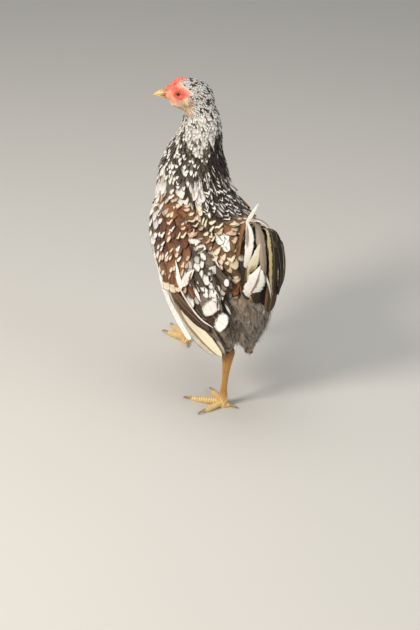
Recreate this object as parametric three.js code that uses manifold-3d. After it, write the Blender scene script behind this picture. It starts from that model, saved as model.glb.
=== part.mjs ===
// A life-size pullet, standing still in mid-step with the head turned to its left.
// Millimetres, +Z up. The bird faces -Y and its left side is +X. The origin is on the
// floor, under the middle of the finished bird.

import * as THREE from 'three';
import { mergeVertices } from 'three/addons/utils/BufferGeometryUtils.js';
import Module from 'manifold-3d';

const wasm = await Module();
wasm.setup();

// ---- driving dimensions ----

const cutGap = 0.3;            // clear space between neighbouring pieces
const eyeHeight = 411;         // floor to the centre of the eye
const headTurn = 55;           // degrees the head is turned to the left of the body
const headForward = 131;       // eye line ahead of the standing ankle
const headAside = 24;          // eye line to the left of the middle plane
const eyeRadius = 4.4;
const eyeAside = 12.6;         // eye centre out from the middle of the head
const wingThickness = 8;       // half the depth of the folded wing at the shoulder
const tailHalfWidth = 28;
const hockHeight = 98;
const standingAnkle = { x: 19.5, forward: -4.5, height: 12 };
const steppingAnkle = { x: -42, forward: 184, height: 12 };
const toeRadius = 4.2;
const clawLength = 10;
const bodySegments = 18;
const limbSegments = 12;
const toeSegments = 8;

// ---- colours ----

const plumage = { color: 0x8a7764, roughness: 0.85, metalness: 0 };
const paleFeather = { color: 0xd8d0c2, roughness: 0.85, metalness: 0 };
const darkFeather = { color: 0x3f3730, roughness: 0.85, metalness: 0 };
const redSkin = { color: 0xc8483a, roughness: 0.6, metalness: 0 };
const creamSkin = { color: 0xd9b48a, roughness: 0.65, metalness: 0 };
const beakHorn = { color: 0xd9a75a, roughness: 0.4, metalness: 0 };
const eyeGloss = { color: 0x2a1208, roughness: 0.1, metalness: 0 };
const legSkin = { color: 0xd08a35, roughness: 0.55, metalness: 0 };
const clawHorn = { color: 0xb08a58, roughness: 0.4, metalness: 0 };

// ---- helpers ----

// A place given as the bird sees it: to its left, ahead and up.
const at = (left, forward, up) => new THREE.Vector3(left, -forward, up);

// A solid swept along a smooth spine through stations [left, forward, up, halfWidth, halfDepth].
// The width lies along `side`; `grow` makes the same solid larger all round.
function sweep(stations, { side = at(1, 0, 0), rings = 16, segments = limbSegments, grow = 0, floor = null }) {
  const spine = new THREE.CatmullRomCurve3(stations.map(([l, f, u]) => at(l, f, u)), false, 'centripetal');
  const sizes = new THREE.CatmullRomCurve3(stations.map((s) => new THREE.Vector3(s[3], s[4], 0)));
  const positions = [];
  for (let i = 0; i <= rings; i++) {
    const t = i / rings;
    const centre = spine.getPoint(t);
    const along = spine.getTangent(t);
    const across = side.clone().addScaledVector(along, -side.dot(along)).normalize();
    const depth = new THREE.Vector3().crossVectors(along, across);
    const size = sizes.getPoint(t);
    if (i === 0) centre.addScaledVector(along, -grow);
    if (i === rings) centre.addScaledVector(along, grow);
    for (let j = 0; j < segments; j++) {
      const angle = (j / segments) * 2 * Math.PI;
      const point = centre.clone()
        .addScaledVector(across, Math.cos(angle) * (size.x + grow))
        .addScaledVector(depth, Math.sin(angle) * (size.y + grow));
      if (floor !== null) point.z = Math.max(point.z, floor);
      positions.push(point);
    }
  }
  return closeRings(positions, rings, segments);
}

// Joins equal rings of points into one closed geometry with a flat fan at each end.
function closeRings(points, rings, segments) {
  const first = averagePoint(points.slice(0, segments));
  const last = averagePoint(points.slice(-segments));
  const all = [...points, first, last];
  const index = [];
  for (let i = 0; i < rings; i++) {
    for (let j = 0; j < segments; j++) {
      const next = (j + 1) % segments;
      const a = i * segments + j;
      const b = i * segments + next;
      index.push(a, b, a + segments, b, b + segments, a + segments);
    }
  }
  for (let j = 0; j < segments; j++) {
    const next = (j + 1) % segments;
    index.push(points.length, next, j);
    index.push(points.length + 1, rings * segments + j, rings * segments + next);
  }
  const geometry = new THREE.BufferGeometry();
  geometry.setAttribute('position', new THREE.Float32BufferAttribute(all.flatMap((p) => [p.x, p.y, p.z]), 3));
  geometry.setIndex(index);
  return geometry;
}

function averagePoint(points) {
  const sum = points.reduce((total, p) => total.add(p), new THREE.Vector3());
  return sum.divideScalar(points.length);
}

// Turns a closed geometry into a manifold solid, with its faces out.
function solid(geometry) {
  const bare = geometry.clone();
  bare.deleteAttribute('normal');
  bare.deleteAttribute('uv');
  const merged = mergeVertices(bare);
  const vertProperties = new Float32Array(merged.attributes.position.array);
  const triVerts = new Uint32Array(merged.index.array);
  let made = new wasm.Manifold(new wasm.Mesh({ numProp: 3, vertProperties, triVerts }));
  if (made.volume() < 0) {
    for (let i = 0; i < triVerts.length; i += 3) {
      [triVerts[i], triVerts[i + 1]] = [triVerts[i + 1], triVerts[i]];
    }
    made = new wasm.Manifold(new wasm.Mesh({ numProp: 3, vertProperties, triVerts }));
  }
  return made;
}

// The largest piece of a solid that a cut may have left in several.
function largest(made) {
  const pieces = made.decompose();
  return pieces.reduce((best, piece) => (piece.volume() > best.volume() ? piece : best));
}

// A solid with the clear space added all round it, to cut its neighbours with.
const withGap = (make) => make(0).add(make(cutGap));

// Cuts every neighbour out of a solid.
const carve = (made, neighbours) => largest(neighbours.reduce((rest, n) => rest.subtract(n), made));

// A large block on one side of a plane, to cut with.
function halfSpace(point, normal, offset) {
  const reach = 600;
  const block = new THREE.BoxGeometry(reach, reach, reach);
  block.translate(0, 0, reach / 2);
  const turn = new THREE.Quaternion().setFromUnitVectors(new THREE.Vector3(0, 0, 1), normal.clone().normalize());
  block.applyQuaternion(turn);
  const start = point.clone().addScaledVector(normal.clone().normalize(), offset);
  block.translate(start.x, start.y, start.z);
  return solid(block);
}

function toGeometry(made) {
  const mesh = made.getMesh();
  const geometry = new THREE.BufferGeometry();
  geometry.setAttribute('position', new THREE.BufferAttribute(new Float32Array(mesh.vertProperties), 3));
  geometry.setIndex(new THREE.BufferAttribute(new Uint32Array(mesh.triVerts), 1));
  geometry.computeVertexNormals();
  return geometry;
}

const bird = new THREE.Group();

function addPiece(name, made, finish) {
  const mesh = new THREE.Mesh(toGeometry(made), new THREE.MeshStandardMaterial(finish));
  mesh.name = name;
  bird.add(mesh);
}

const mirrored = (stations) => stations.map(([left, ...rest]) => [-left, ...rest]);

// ---- head frame: a point out along the beak, to the head's left, and up from the eye line ----

const turn = THREE.MathUtils.degToRad(headTurn);
const beakWay = at(Math.sin(turn), Math.cos(turn), 0);
const headSide = at(Math.cos(turn), -Math.sin(turn), 0);
const headCentre = at(headAside, headForward, eyeHeight);

function onHead(out, left, up) {
  const point = headCentre.clone().addScaledVector(beakWay, out).addScaledVector(headSide, left);
  return [point.x, -point.y, point.z + up];
}

// Stations along the head's own axis, from [out, up, halfWidth, halfDepth].
const headStations = (list) => list.map(([out, up, width, height]) => [...onHead(out, 0, up), width, height]);

// ---- trunk, neck and back, which join into one body ----

function trunkSweep(grow) {
  const stations = [
    [0, -50, 246, 8, 6],
    [0, -38, 245, 26, 22],
    [0, 0, 224, 43, 44],
    [0, 45, 214, 51, 60],
    [0, 95, 219, 54, 66],
    [0, 141, 235, 50, 61],
    [0, 168, 245, 34, 42],
    [0, 180, 248, 11, 13],
  ];
  return solid(sweep(stations, { rings: 13, segments: bodySegments, grow }));
}

function neckSweep(grow) {
  const stations = [
    [0, 108, 222, 34, 42],
    [0, 119, 256, 49, 59],
    [0, 121, 290, 48, 58],
    [0, 119, 318, 40, 47],
    [0, 112, 344, 30, 34],
    [0, 108, 364, 26, 28],
    [3, 110, 383, 24, 25],
    [7, 116, 397, 16, 17],
    [10, 120, 406, 6, 7],
  ];
  return solid(sweep(stations, { rings: 14, segments: bodySegments, grow }));
}

// The cape of feathers that fills the bend between the neck and the back.
function capeSweep(grow) {
  const stations = [
    [0, 98, 344, 16, 12],
    [0, 89, 314, 26, 18],
    [0, 69, 278, 35, 22.5],
    [0, 34, 254, 38, 22],
    [0, 0, 249, 34, 20],
    [0, -28, 252, 20, 12],
  ];
  return solid(sweep(stations, { rings: 10, segments: 12, grow }));
}

// The soft fluff that hangs behind and between the legs.
function fluffSweep(grow) {
  const stations = [
    [0, 20, 205, 28, 34],
    [-1, -8, 176, 39, 40],
    [-1, -20, 144, 34, 30],
    [-1, -25, 116, 20, 16],
    [-1, -29, 88, 6, 6],
  ];
  return solid(sweep(stations, { rings: 8, segments: 14, grow }));
}

const bodySolid = (grow) => trunkSweep(grow).add(neckSweep(grow)).add(capeSweep(grow)).add(fluffSweep(grow));

function headSweep(grow) {
  const profile = [
    [-47, -16, 5, 7],
    [-42, -15.5, 13, 14],
    [-32, -12.3, 19, 21.5],
    [-18, -6.4, 20, 24],
    [-6, -5.2, 18, 22.3],
    [3, -6.2, 15, 16.7],
    [10, -4.5, 10.5, 10],
    [16, -4.5, 6.5, 5.8],
    [18, -4.5, 4, 3.6],
  ];
  return solid(sweep(headStations(profile), { side: headSide, rings: 13, segments: 16, grow }));
}

const eyeBalls = (grow) => [1, -1].map((hand) => {
  const [left, forward, up] = onHead(0, hand * eyeAside, 0);
  const ball = new THREE.SphereGeometry(eyeRadius + grow, 10, 7);
  const centre = at(left, forward, up);
  ball.translate(centre.x, centre.y, centre.z);
  return solid(ball);
});

const wholeSolid = (grow) => bodySolid(grow).add(headSweep(grow));

function addBody() {
  const whole = wholeSolid(0);
  const cuts = [
    { name: 'head', point: at(10, 116, 384), normal: at(0.2, 0.25, 1) },
    { name: 'neck_upper', point: at(0, 113, 345), normal: at(0, 0, 1) },
    { name: 'neck_lower', point: at(0, 117, 300), normal: at(0, 0.1, 1) },
  ];
  const [leftBall, rightBall] = eyeBalls(cutGap);
  let rest = whole.subtract(leftBall).subtract(rightBall);
  for (const { name, point, normal } of cuts) {
    const upper = halfSpace(point, normal, cutGap / 2);
    const upperAndGap = halfSpace(point, normal, -cutGap / 2);
    addPiece(name, largest(rest.intersect(upper)), plumage);
    rest = largest(rest.subtract(upperAndGap));
  }
  addPiece('trunk', rest, plumage);
}

function addEyes() {
  eyeBalls(0).forEach((ball, i) => addPiece(`eye_${i ? 'right' : 'left'}`, ball, eyeGloss));
}

// ---- beak, comb, wattles and ear lobes ----

function beakSweep(jaw, grow) {
  const profile = {
    upper: [[11, -2.5, 7.2, 5.5], [18, -3.5, 5.8, 4.6], [24, -4.6, 4.2, 3.6], [29, -5.6, 2.6, 2.5], [33, -7, 0.8, 0.9]],
    lower: [[11, -9.6, 5.8, 3], [18, -9.4, 4.6, 2.6], [24, -8.9, 3.2, 2], [29.5, -8.1, 1.5, 1]],
  }[jaw];
  return solid(sweep(headStations(profile), { side: headSide, rings: 7, segments: 12, grow }));
}

function addBeak() {
  const head = withGap(headSweep);
  const [left, forward, up] = onHead(20, 0, -7.2);
  const mouth = at(left, forward, up);
  const above = halfSpace(mouth, at(0, 0, 1), cutGap / 2);
  const below = halfSpace(mouth, at(0, 0, -1), cutGap / 2);
  addPiece('beak_upper', carve(beakSweep('upper', 0).intersect(above), [head]), beakHorn);
  addPiece('beak_lower', carve(beakSweep('lower', 0).intersect(below), [head]), beakHorn);
}

function addComb() {
  const profile = [
    [18, 0.5, 2, 2], [13.5, 4.5, 3.6, 4], [8, 9, 4.4, 5], [2, 13, 4.6, 5.4], [-3.5, 15, 3.6, 4.2], [-8, 15, 1.5, 2],
  ];
  const ridge = solid(sweep(headStations(profile), { side: headSide, rings: 10, segments: 8 }));
  addPiece('comb', carve(ridge, [withGap(wholeSolid), beakSweep('upper', cutGap)]), redSkin);
}

function addFaceFlaps() {
  const head = withGap(wholeSolid);
  for (const hand of [1, -1]) {
    const name = hand > 0 ? 'left' : 'right';
    const wattle = [[9, hand * 7, -9, 2, 3], [7, hand * 7.5, -14, 2.2, 4.2], [5, hand * 7.2, -18, 1.6, 3.2], [4, hand * 6.8, -20, 0.8, 1.2]];
    const lobe = [[-12, hand * 19.4, -3, 1.6, 2.4], [-13, hand * 19.8, -8, 2.6, 5], [-13.5, hand * 18.8, -13, 2.4, 4.6], [-13.5, hand * 17, -17, 1, 2]];
    const along = (list) => list.map(([out, left, up, width, depth]) => [...onHead(out, left, up), width, depth]);
    const shape = { side: headSide, rings: 6, segments: 8 };
    addPiece(`wattle_${name}`, carve(solid(sweep(along(wattle), shape)), [head]), redSkin);
    addPiece(`earlobe_${name}`, carve(solid(sweep(along(lobe), shape)), [head]), creamSkin);
  }
}

// ---- wings ----

// The standing side's wing hangs low; the far wing is folded higher.
const leftWing = {
  name: 'left',
  side: at(1, 0, 0.1),
  arm: [
    [43, 139, 268, 4, 13], [52, 118, 244, wingThickness, 40], [55, 84, 211, wingThickness, 52],
    [56, 40, 186, 8, 52], [53, 2, 166, 6, 38], [49, -26, 150, 3, 16], [47, -36, 145, 1.2, 5],
  ],
  flights: [
    [57, 110, 176, 2.2, 14], [60, 79, 146, 2.2, 16], [59, 32, 121, 2, 16], [54, -10, 103, 1.6, 11], [50, -33, 96, 0.8, 4],
  ],
};
const rightWing = {
  name: 'right',
  side: at(-1, 0, 0.1),
  arm: mirrored([
    [43, 139, 268, 4, 13], [52, 118, 246, wingThickness, 40], [55, 84, 217, wingThickness, 50],
    [54, 42, 200, 8, 46], [48, 6, 188, 6, 32], [41, -20, 182, 3, 15], [37, -30, 180, 1.2, 5],
  ]),
  flights: mirrored([
    [56, 106, 184, 2.2, 13], [58, 78, 162, 2.2, 16], [54, 40, 152, 2, 15], [47, 4, 150, 1.6, 10], [42, -14, 152, 0.8, 4],
  ]),
};

function wingParts(wing, grow) {
  const arm = solid(sweep(wing.arm, { side: wing.side, rings: 12, segments: 12, grow }));
  const flights = solid(sweep(wing.flights, { side: wing.side, rings: 10, segments: 8, grow }));
  return { arm, flights };
}

function addWing(wing) {
  const body = withGap(bodySolid);
  const { arm, flights } = wingParts(wing, 0);
  addPiece(`wing_${wing.name}`, carve(arm, [body]), plumage);
  addPiece(`primaries_${wing.name}`, carve(flights, [body, wingParts(wing, cutGap).arm]), paleFeather);
}

// ---- tail ----

function tailSweep(grow) {
  const stations = [
    [0, 0, 262, 0.6 * tailHalfWidth, 9],
    [0, -28, 264, 0.85 * tailHalfWidth, 18],
    [0, -50, 242, tailHalfWidth, 24],
    [0, -56, 214, tailHalfWidth, 24],
    [0, -56, 188, 0.8 * tailHalfWidth, 17],
    [0, -48, 168, 0.3 * tailHalfWidth, 6],
  ];
  return solid(sweep(stations, { rings: 10, segments: 14, grow }));
}

function addTail() {
  addPiece('tail', carve(tailSweep(0), [withGap(bodySolid)]), darkFeather);
}

// ---- legs ----

const legs = [
  {
    name: 'left', ankle: standingAnkle,
    hock: { x: 25, forward: -19, height: hockHeight }, knee: { x: 38, forward: 44, height: 150 },
    toes: [
      { name: 'inner', heading: -13, length: 50 },
      { name: 'middle', heading: 40, length: 56 },
      { name: 'outer', heading: 98, length: 44 },
      { name: 'hallux', heading: 215, length: 22 },
    ],
  },
  {
    name: 'right', ankle: steppingAnkle,
    hock: { x: -37, forward: 146, height: 92 }, knee: { x: -42, forward: 100, height: 158 },
    toes: [
      { name: 'inner', heading: 17, length: 46 },
      { name: 'middle', heading: -10, length: 60 },
      { name: 'outer', heading: -40, length: 46 },
      { name: 'hallux', heading: 155, length: 22 },
    ],
  },
];

const place = ({ x, forward, height }) => [x, forward, height];

function between(a, b, share) {
  return [a.x + (b.x - a.x) * share, a.forward + (b.forward - a.forward) * share, a.height + (b.height - a.height) * share];
}

function thighSweep({ hock, knee }, grow) {
  const stations = [
    [...between(hock, knee, -0.08), 8, 8],
    [...between(hock, knee, 0.08), 12, 13],
    [...between(hock, knee, 0.4), 19, 24],
    [...between(hock, knee, 0.8), 24, 34],
    [...between(hock, knee, 1.25), 20, 30],
  ];
  return solid(sweep(stations, { rings: 9, segments: limbSegments, grow }));
}

function shankSweep({ hock, ankle }, grow) {
  const stations = [
    [...between(hock, ankle, -0.08), 6, 7],
    [...between(hock, ankle, 0.02), 9.5, 10],
    [...between(hock, ankle, 0.18), 7.6, 8.2],
    [...between(hock, ankle, 0.36), 5.6, 6],
    [...between(hock, ankle, 0.7), 4.3, 4.8],
    [...between(hock, ankle, 0.9), 5.2, 5.6],
    [...place(ankle).slice(0, 2), 6.5, 7.2, 7.8],
    [...place(ankle).slice(0, 2), -2, 7, 7.5],
  ];
  return solid(sweep(stations, { rings: 12, segments: limbSegments, grow, floor: 0 }));
}

// A point on the floor plan, out from the ankle along a toe's heading.
function onToe(ankle, heading, distance, height) {
  const angle = THREE.MathUtils.degToRad(heading);
  return [ankle.x + Math.sin(angle) * distance, ankle.forward + Math.cos(angle) * distance, height];
}

function toeSweep(ankle, { heading, length }, grow) {
  const reach = length - clawLength;
  const radius = length < 30 ? 0.8 * toeRadius : toeRadius;
  const stations = [
    [...onToe(ankle, heading, 2, 8), radius, radius * 1.1],
    [...onToe(ankle, heading, 0.3 * reach, 5.5), radius, radius * 1.2],
    [...onToe(ankle, heading, 0.65 * reach, 3.8), radius * 0.9, radius],
    [...onToe(ankle, heading, 0.95 * reach, 3), radius * 0.75, radius * 0.8],
    [...onToe(ankle, heading, reach, 3), radius * 0.5, radius * 0.55],
  ];
  return solid(sweep(stations, { rings: 5, segments: toeSegments, grow, floor: 0 }));
}

function clawSweep(ankle, { heading, length }) {
  const reach = length - clawLength;
  const stations = [
    [...onToe(ankle, heading, reach - 3, 3.4), 1.5, 1.8],
    [...onToe(ankle, heading, reach + 3, 3.6), 1.4, 1.7],
    [...onToe(ankle, heading, length - 2.5, 2.4), 1, 1.1],
    [...onToe(ankle, heading, length, 0.9), 0.4, 0.5],
  ];
  return solid(sweep(stations, { rings: 3, segments: 6, floor: 0 }));
}

function addLeg(leg, body) {
  const side = leg.name;
  const wing = wingParts(side === 'left' ? leftWing : rightWing, cutGap);
  addPiece(`thigh_${side}`, carve(thighSweep(leg, 0), [body, wing.arm, wing.flights]), plumage);
  addPiece(`shank_${side}`, carve(shankSweep(leg, 0), [thighSweep(leg, cutGap)]), legSkin);
  const taken = [shankSweep(leg, cutGap)];
  for (const toe of leg.toes) {
    addPiece(`toe_${side}_${toe.name}`, carve(toeSweep(leg.ankle, toe, 0), taken), legSkin);
    const grown = toeSweep(leg.ankle, toe, cutGap);
    addPiece(`claw_${side}_${toe.name}`, carve(clawSweep(leg.ankle, toe), [grown]), clawHorn);
    taken.push(grown);
  }
}

// ---- the bird ----

addBody();
addEyes();
addBeak();
addComb();
addFaceFlaps();
addWing(leftWing);
addWing(rightWing);
addTail();
for (const leg of legs) addLeg(leg, withGap(bodySolid));

const box = new THREE.Box3().setFromObject(bird);
const middle = box.getCenter(new THREE.Vector3());
bird.position.set(-middle.x, -middle.y, -box.min.z);

export default bird;
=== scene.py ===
import math
import time

import bpy
import numpy as np
from mathutils import Matrix, Vector
from mathutils.bvhtree import BVHTree


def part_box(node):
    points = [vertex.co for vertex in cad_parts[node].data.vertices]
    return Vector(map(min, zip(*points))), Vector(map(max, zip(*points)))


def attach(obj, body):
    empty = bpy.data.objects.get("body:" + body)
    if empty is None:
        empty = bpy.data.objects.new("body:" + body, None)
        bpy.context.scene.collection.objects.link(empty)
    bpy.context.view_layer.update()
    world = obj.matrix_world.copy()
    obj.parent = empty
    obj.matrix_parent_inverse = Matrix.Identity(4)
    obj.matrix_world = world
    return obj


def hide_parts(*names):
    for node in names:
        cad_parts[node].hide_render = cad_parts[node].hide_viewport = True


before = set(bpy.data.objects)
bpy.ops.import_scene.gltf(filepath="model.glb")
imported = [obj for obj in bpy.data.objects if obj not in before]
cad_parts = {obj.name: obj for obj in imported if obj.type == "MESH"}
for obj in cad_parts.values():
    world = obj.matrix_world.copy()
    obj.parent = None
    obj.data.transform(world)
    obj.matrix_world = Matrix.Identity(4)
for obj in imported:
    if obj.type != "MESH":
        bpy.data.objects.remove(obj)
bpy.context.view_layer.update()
startTime = time.time()


def report(stage):
    print(f"{time.time() - startTime:6.1f} s  {stage}")


# landmarks, all read from the frame
millimetre = 0.001
rumpBehind = 51  # how far the trunk's rear lies behind the standing ankle line, mm


def nodeMiddle(name):
    low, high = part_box(name)
    return (np.array(low) + np.array(high)) / 2


trunkLow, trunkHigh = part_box("trunk")
home = np.array([(trunkLow.x + trunkHigh.x) / 2, trunkHigh.y - rumpBehind * millimetre, 0])


# a place on the bird in millimetres: to its left, ahead and up
def place(left, ahead, up):
    return home + np.array([left, -ahead, up]) * millimetre


def heading(left, ahead, up):
    return unit(np.array([left, -ahead, up], float))


# the same three numbers back again, for many points at once
def birdWays(points):
    away = (points - home) / millimetre
    return away[:, 0], -away[:, 1], away[:, 2]


def unit(vectors):
    return vectors / np.maximum(np.linalg.norm(vectors, axis=-1, keepdims=True), 1e-9)


headCentre = (nodeMiddle("eye_left") + nodeMiddle("eye_right")) / 2
headSide = unit(nodeMiddle("eye_left") - nodeMiddle("eye_right"))
upward = np.array([0.0, 0.0, 1.0])
beakWay = np.cross(headSide, upward)


def onHead(out, left, up):
    return headCentre + (beakWay * out + headSide * left + upward * up) * millimetre


def headWays(points):
    away = (points - headCentre) / millimetre
    return away @ beakWay, away @ headSide, away @ upward


# the one generator behind everything that varies by chance
random = np.random.default_rng(11)


def smoothStep(low, high, value):
    share = np.clip((value - low) / (high - low), 0, 1)
    return share * share * (3 - 2 * share)


# from the first values towards the second by a share, which most can cap
def blend(first, second, share, most=1):
    return first + (second - first) * share * most


# a colour from its common 0 to 255 values
def paint(red, green, blue):
    shares = np.array([red, green, blue]) / 255
    return np.where(shares < 0.04045, shares / 12.92, ((shares + 0.055) / 1.055) ** 2.4)


mixPrimes = np.array([73856093, 19349663, 83492791])   # they scatter neighbouring cells
seedPrime = 2654435761


# soft lumps from -1 to 1, each about size across
def cloud(points, size, seed=0):
    scaled = points / size + seed * 7.31
    cell = np.floor(scaled).astype(np.int64)
    inside = scaled - cell
    inside = inside * inside * (3 - 2 * inside)
    total = np.zeros(len(points))
    for corner in np.ndindex(2, 2, 2):
        mixed = np.bitwise_xor.reduce((cell + np.array(corner)) * mixPrimes, axis=1)
        mixed = mixed ^ (seed + 5) * seedPrime
        mixed = (mixed ^ (mixed >> 13)) * 1274126177 & 0xFFFFFFF
        value = ((mixed >> 7) & 0xFFFF) / 32767.5 - 1
        weight = np.prod(np.where(corner, inside, 1 - inside), axis=1)
        total += value * weight
    return total


def meshArrays(mesh):
    corners = np.empty(len(mesh.vertices) * 3)
    mesh.vertices.foreach_get("co", corners)
    mesh.calc_loop_triangles()
    triangles = np.empty(len(mesh.loop_triangles) * 3, np.int64)
    mesh.loop_triangles.foreach_get("vertices", triangles)
    return corners.reshape(-1, 3), triangles.reshape(-1, 3)


# a node's mesh with its split corners joined again
def nodeShape(name):
    points, triangles = meshArrays(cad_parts[name].data)
    keys, index = np.unique(np.round(points * 1e6).astype(np.int64), axis=0, return_inverse=True)
    triangles = index.reshape(-1)[triangles]
    whole = (triangles[:, 0] != triangles[:, 1]) & (triangles[:, 1] != triangles[:, 2])
    whole &= triangles[:, 2] != triangles[:, 0]
    return keys / 1e6, triangles[whole]


def pointNormals(points, triangles):
    a, b, c = (points[triangles[:, i]] for i in range(3))
    face = np.cross(b - a, c - a)
    total = np.zeros_like(points)
    for i in range(3):
        for axis in range(3):
            total[:, axis] += np.bincount(triangles[:, i], face[:, axis], len(points))
    return unit(total)


def makeObject(name, points, faces):
    mesh = bpy.data.meshes.new(name)
    count = faces.shape[1]
    mesh.vertices.add(len(points))
    mesh.vertices.foreach_set("co", points.astype(np.float32).ravel())
    mesh.loops.add(faces.size)
    mesh.loops.foreach_set("vertex_index", faces.astype(np.int32).ravel())
    mesh.polygons.add(len(faces))
    mesh.polygons.foreach_set("loop_start", (np.arange(len(faces)) * count).astype(np.int32))
    mesh.polygons.foreach_set("use_smooth", np.ones(len(faces), bool))
    mesh.update(calc_edges=True)
    made = bpy.data.objects.new(name, mesh)
    bpy.context.scene.collection.objects.link(made)
    return made


def addAttribute(made, name, kind, values):
    data = made.data.attributes.new(name, kind, "POINT").data
    field = {"FLOAT": "value", "FLOAT_VECTOR": "vector", "FLOAT_COLOR": "color"}[kind]
    if kind == "FLOAT_COLOR" and values.shape[1] == 3:
        values = np.hstack([values, np.ones((len(values), 1))])
    data.foreach_set(field, np.asarray(values, np.float32).ravel())


def applyModifiers(made):
    graph = bpy.context.evaluated_depsgraph_get()
    mesh = bpy.data.meshes.new_from_object(made.evaluated_get(graph))
    made.modifiers.clear()
    old = made.data
    made.data = mesh
    bpy.data.meshes.remove(old)


def edgePairs(triangles):
    pairs = np.vstack([triangles[:, [0, 1]], triangles[:, [1, 2]], triangles[:, [2, 0]]])
    pairs.sort(axis=1)
    return np.unique(pairs, axis=0)


# evens out any values held at the mesh points, along its edges
def evened(values, pairs, rounds, share=0.5):
    values = values.copy()
    flat = values.reshape(len(values), -1)
    count = np.bincount(pairs.ravel(), minlength=len(values))[:, None]
    for _ in range(rounds):
        total = np.zeros_like(flat)
        for axis in range(flat.shape[1]):
            total[:, axis] += np.bincount(pairs[:, 0], flat[pairs[:, 1], axis], len(values))
            total[:, axis] += np.bincount(pairs[:, 1], flat[pairs[:, 0], axis], len(values))
        flat += (total / np.maximum(count, 1) - flat) * share
    return flat.reshape(values.shape)


# gives a piece its look, hides the nodes that it stands in for, and lets it ride the bird
def dressPiece(made, finish, slotName, *nodes):
    made.data.materials.append(finish)
    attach(made, "root")
    if nodes:
        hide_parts(*nodes)


# joins closed shapes into one even closed surface
def fuse(name, shapes, voxel, grow=0.35):
    points, triangles, start = [], [], 0
    for corners, faces in shapes:
        points.append(corners + pointNormals(corners, faces) * grow * millimetre)
        triangles.append(faces + start)
        start += len(corners)
    made = makeObject(name, np.vstack(points), np.vstack(triangles))
    remesh = made.modifiers.new("even", "REMESH")
    remesh.mode = "VOXEL"
    remesh.voxel_size = voxel * millimetre
    applyModifiers(made)
    return made


# a closed tube through rings: each has its centre and two half sizes, and two cross directions of its own or
# shared by all
def tube(centres, across, depth, widths, heights, segments):
    angle = np.arange(segments) / segments * 2 * math.pi
    ring = np.cos(angle)[None, :, None] * across[:, None] * widths[:, None, None]
    ring = ring + np.sin(angle)[None, :, None] * depth[:, None] * heights[:, None, None]
    points = (centres[:, None] + ring).reshape(-1, 3)
    return np.vstack([points, centres[:1], centres[-1:]]), tubeFaces(len(centres), segments)


# a tube's triangles: its wall, and a fan round the middle of each end
def tubeFaces(rings, segments):
    triangles = []
    for i in range(rings - 1):
        for j in range(segments):
            k = (j + 1) % segments
            a, b = i * segments + j, i * segments + k
            triangles += [(a, b, a + segments), (b, b + segments, a + segments)]
    for j in range(segments):
        k = (j + 1) % segments
        triangles += [(rings * segments, k, j)]
        triangles += [(rings * segments + 1, (rings - 1) * segments + j, (rings - 1) * segments + k)]
    return np.array(triangles)


# turns a closed mesh's faces out, whichever way they were made
def outwardFaces(points, faces):
    a, b, c = (points[faces[:, i]] - points.mean(0) for i in range(3))
    volume = np.einsum("ij,ij->i", a, np.cross(b, c)).sum()
    return faces if volume > 0 else faces[:, ::-1]


# a smooth curve's points through a few given ones, at shares of its way from 0 to 1
def curveThrough(stations, shares):
    stations = np.array(stations, float)
    last = len(stations) - 1
    padded = np.vstack([2 * stations[0] - stations[1], stations, 2 * stations[-1] - stations[-2]])
    places = np.asarray(shares) * last
    index = np.minimum(places.astype(int), last - 1)
    t = (places - index)[:, None]
    p0, p1, p2, p3 = (padded[index + k] for k in range(4))
    return 0.5 * (2 * p1 + (p2 - p0) * t + (2 * p0 - 5 * p1 + 4 * p2 - p3) * t**2
                  + (3 * p1 - p0 - 3 * p2 + p3) * t**3)


# where the camera stands and how it looks
view = dict(
    bearing=54.26,     # degrees from the bird's left round to its rear
    distance=1.8143,   # along the floor from the standing ankle
    height=1.01,
    turn=55.0,         # the way it looks, in the same degrees as bearing
    tilt=25.7,         # down
    roll=3.2,
    lens=86.2,
)
standingAnkle = place(19.5, -4.5, 0)


def addCamera():
    turn, tilt, roll, bearing = (math.radians(view[k]) for k in ("turn", "tilt", "roll", "bearing"))
    right = np.array([-math.sin(turn), math.cos(turn), 0])
    away = np.array([-math.cos(turn), -math.sin(turn), 0])
    forward = away * math.cos(tilt) - upward * math.sin(tilt)
    above = away * math.sin(tilt) + upward * math.cos(tilt)
    side = right * math.cos(roll) + above * math.sin(roll)
    above = above * math.cos(roll) - right * math.sin(roll)
    spot = standingAnkle + np.array([math.cos(bearing), math.sin(bearing), 0]) * view["distance"]
    spot[2] = view["height"]
    data = bpy.data.cameras.new("camera")
    data.lens = view["lens"]
    data.sensor_width = 36   # mm, as the lens is
    camera = bpy.data.objects.new("camera", data)
    matrix = Matrix.Identity(4)
    for i, axis in enumerate((side, above, -forward)):
        for row in range(3):
            matrix[row][i] = axis[row]
    matrix.translation = Vector(spot)
    camera.matrix_world = matrix
    bpy.context.scene.collection.objects.link(camera)
    bpy.context.scene.camera = camera


def addLight(name, spot, size, power, colour):
    data = bpy.data.lights.new(name, "AREA")
    data.shape = "DISK"
    data.size = size
    data.energy = power
    data.color = colour
    lamp = bpy.data.objects.new(name, data)
    lamp.location = Vector(spot)
    aim = Vector(place(0, 40, 220)) - lamp.location
    lamp.rotation_euler = aim.to_track_quat("-Z", "Y").to_euler()
    bpy.context.scene.collection.objects.link(lamp)


studio = dict(keyPower=44, fillPower=9, topPower=10, sky=0.42, floorTone=(206, 202, 194), floorReach=6.0)


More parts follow.
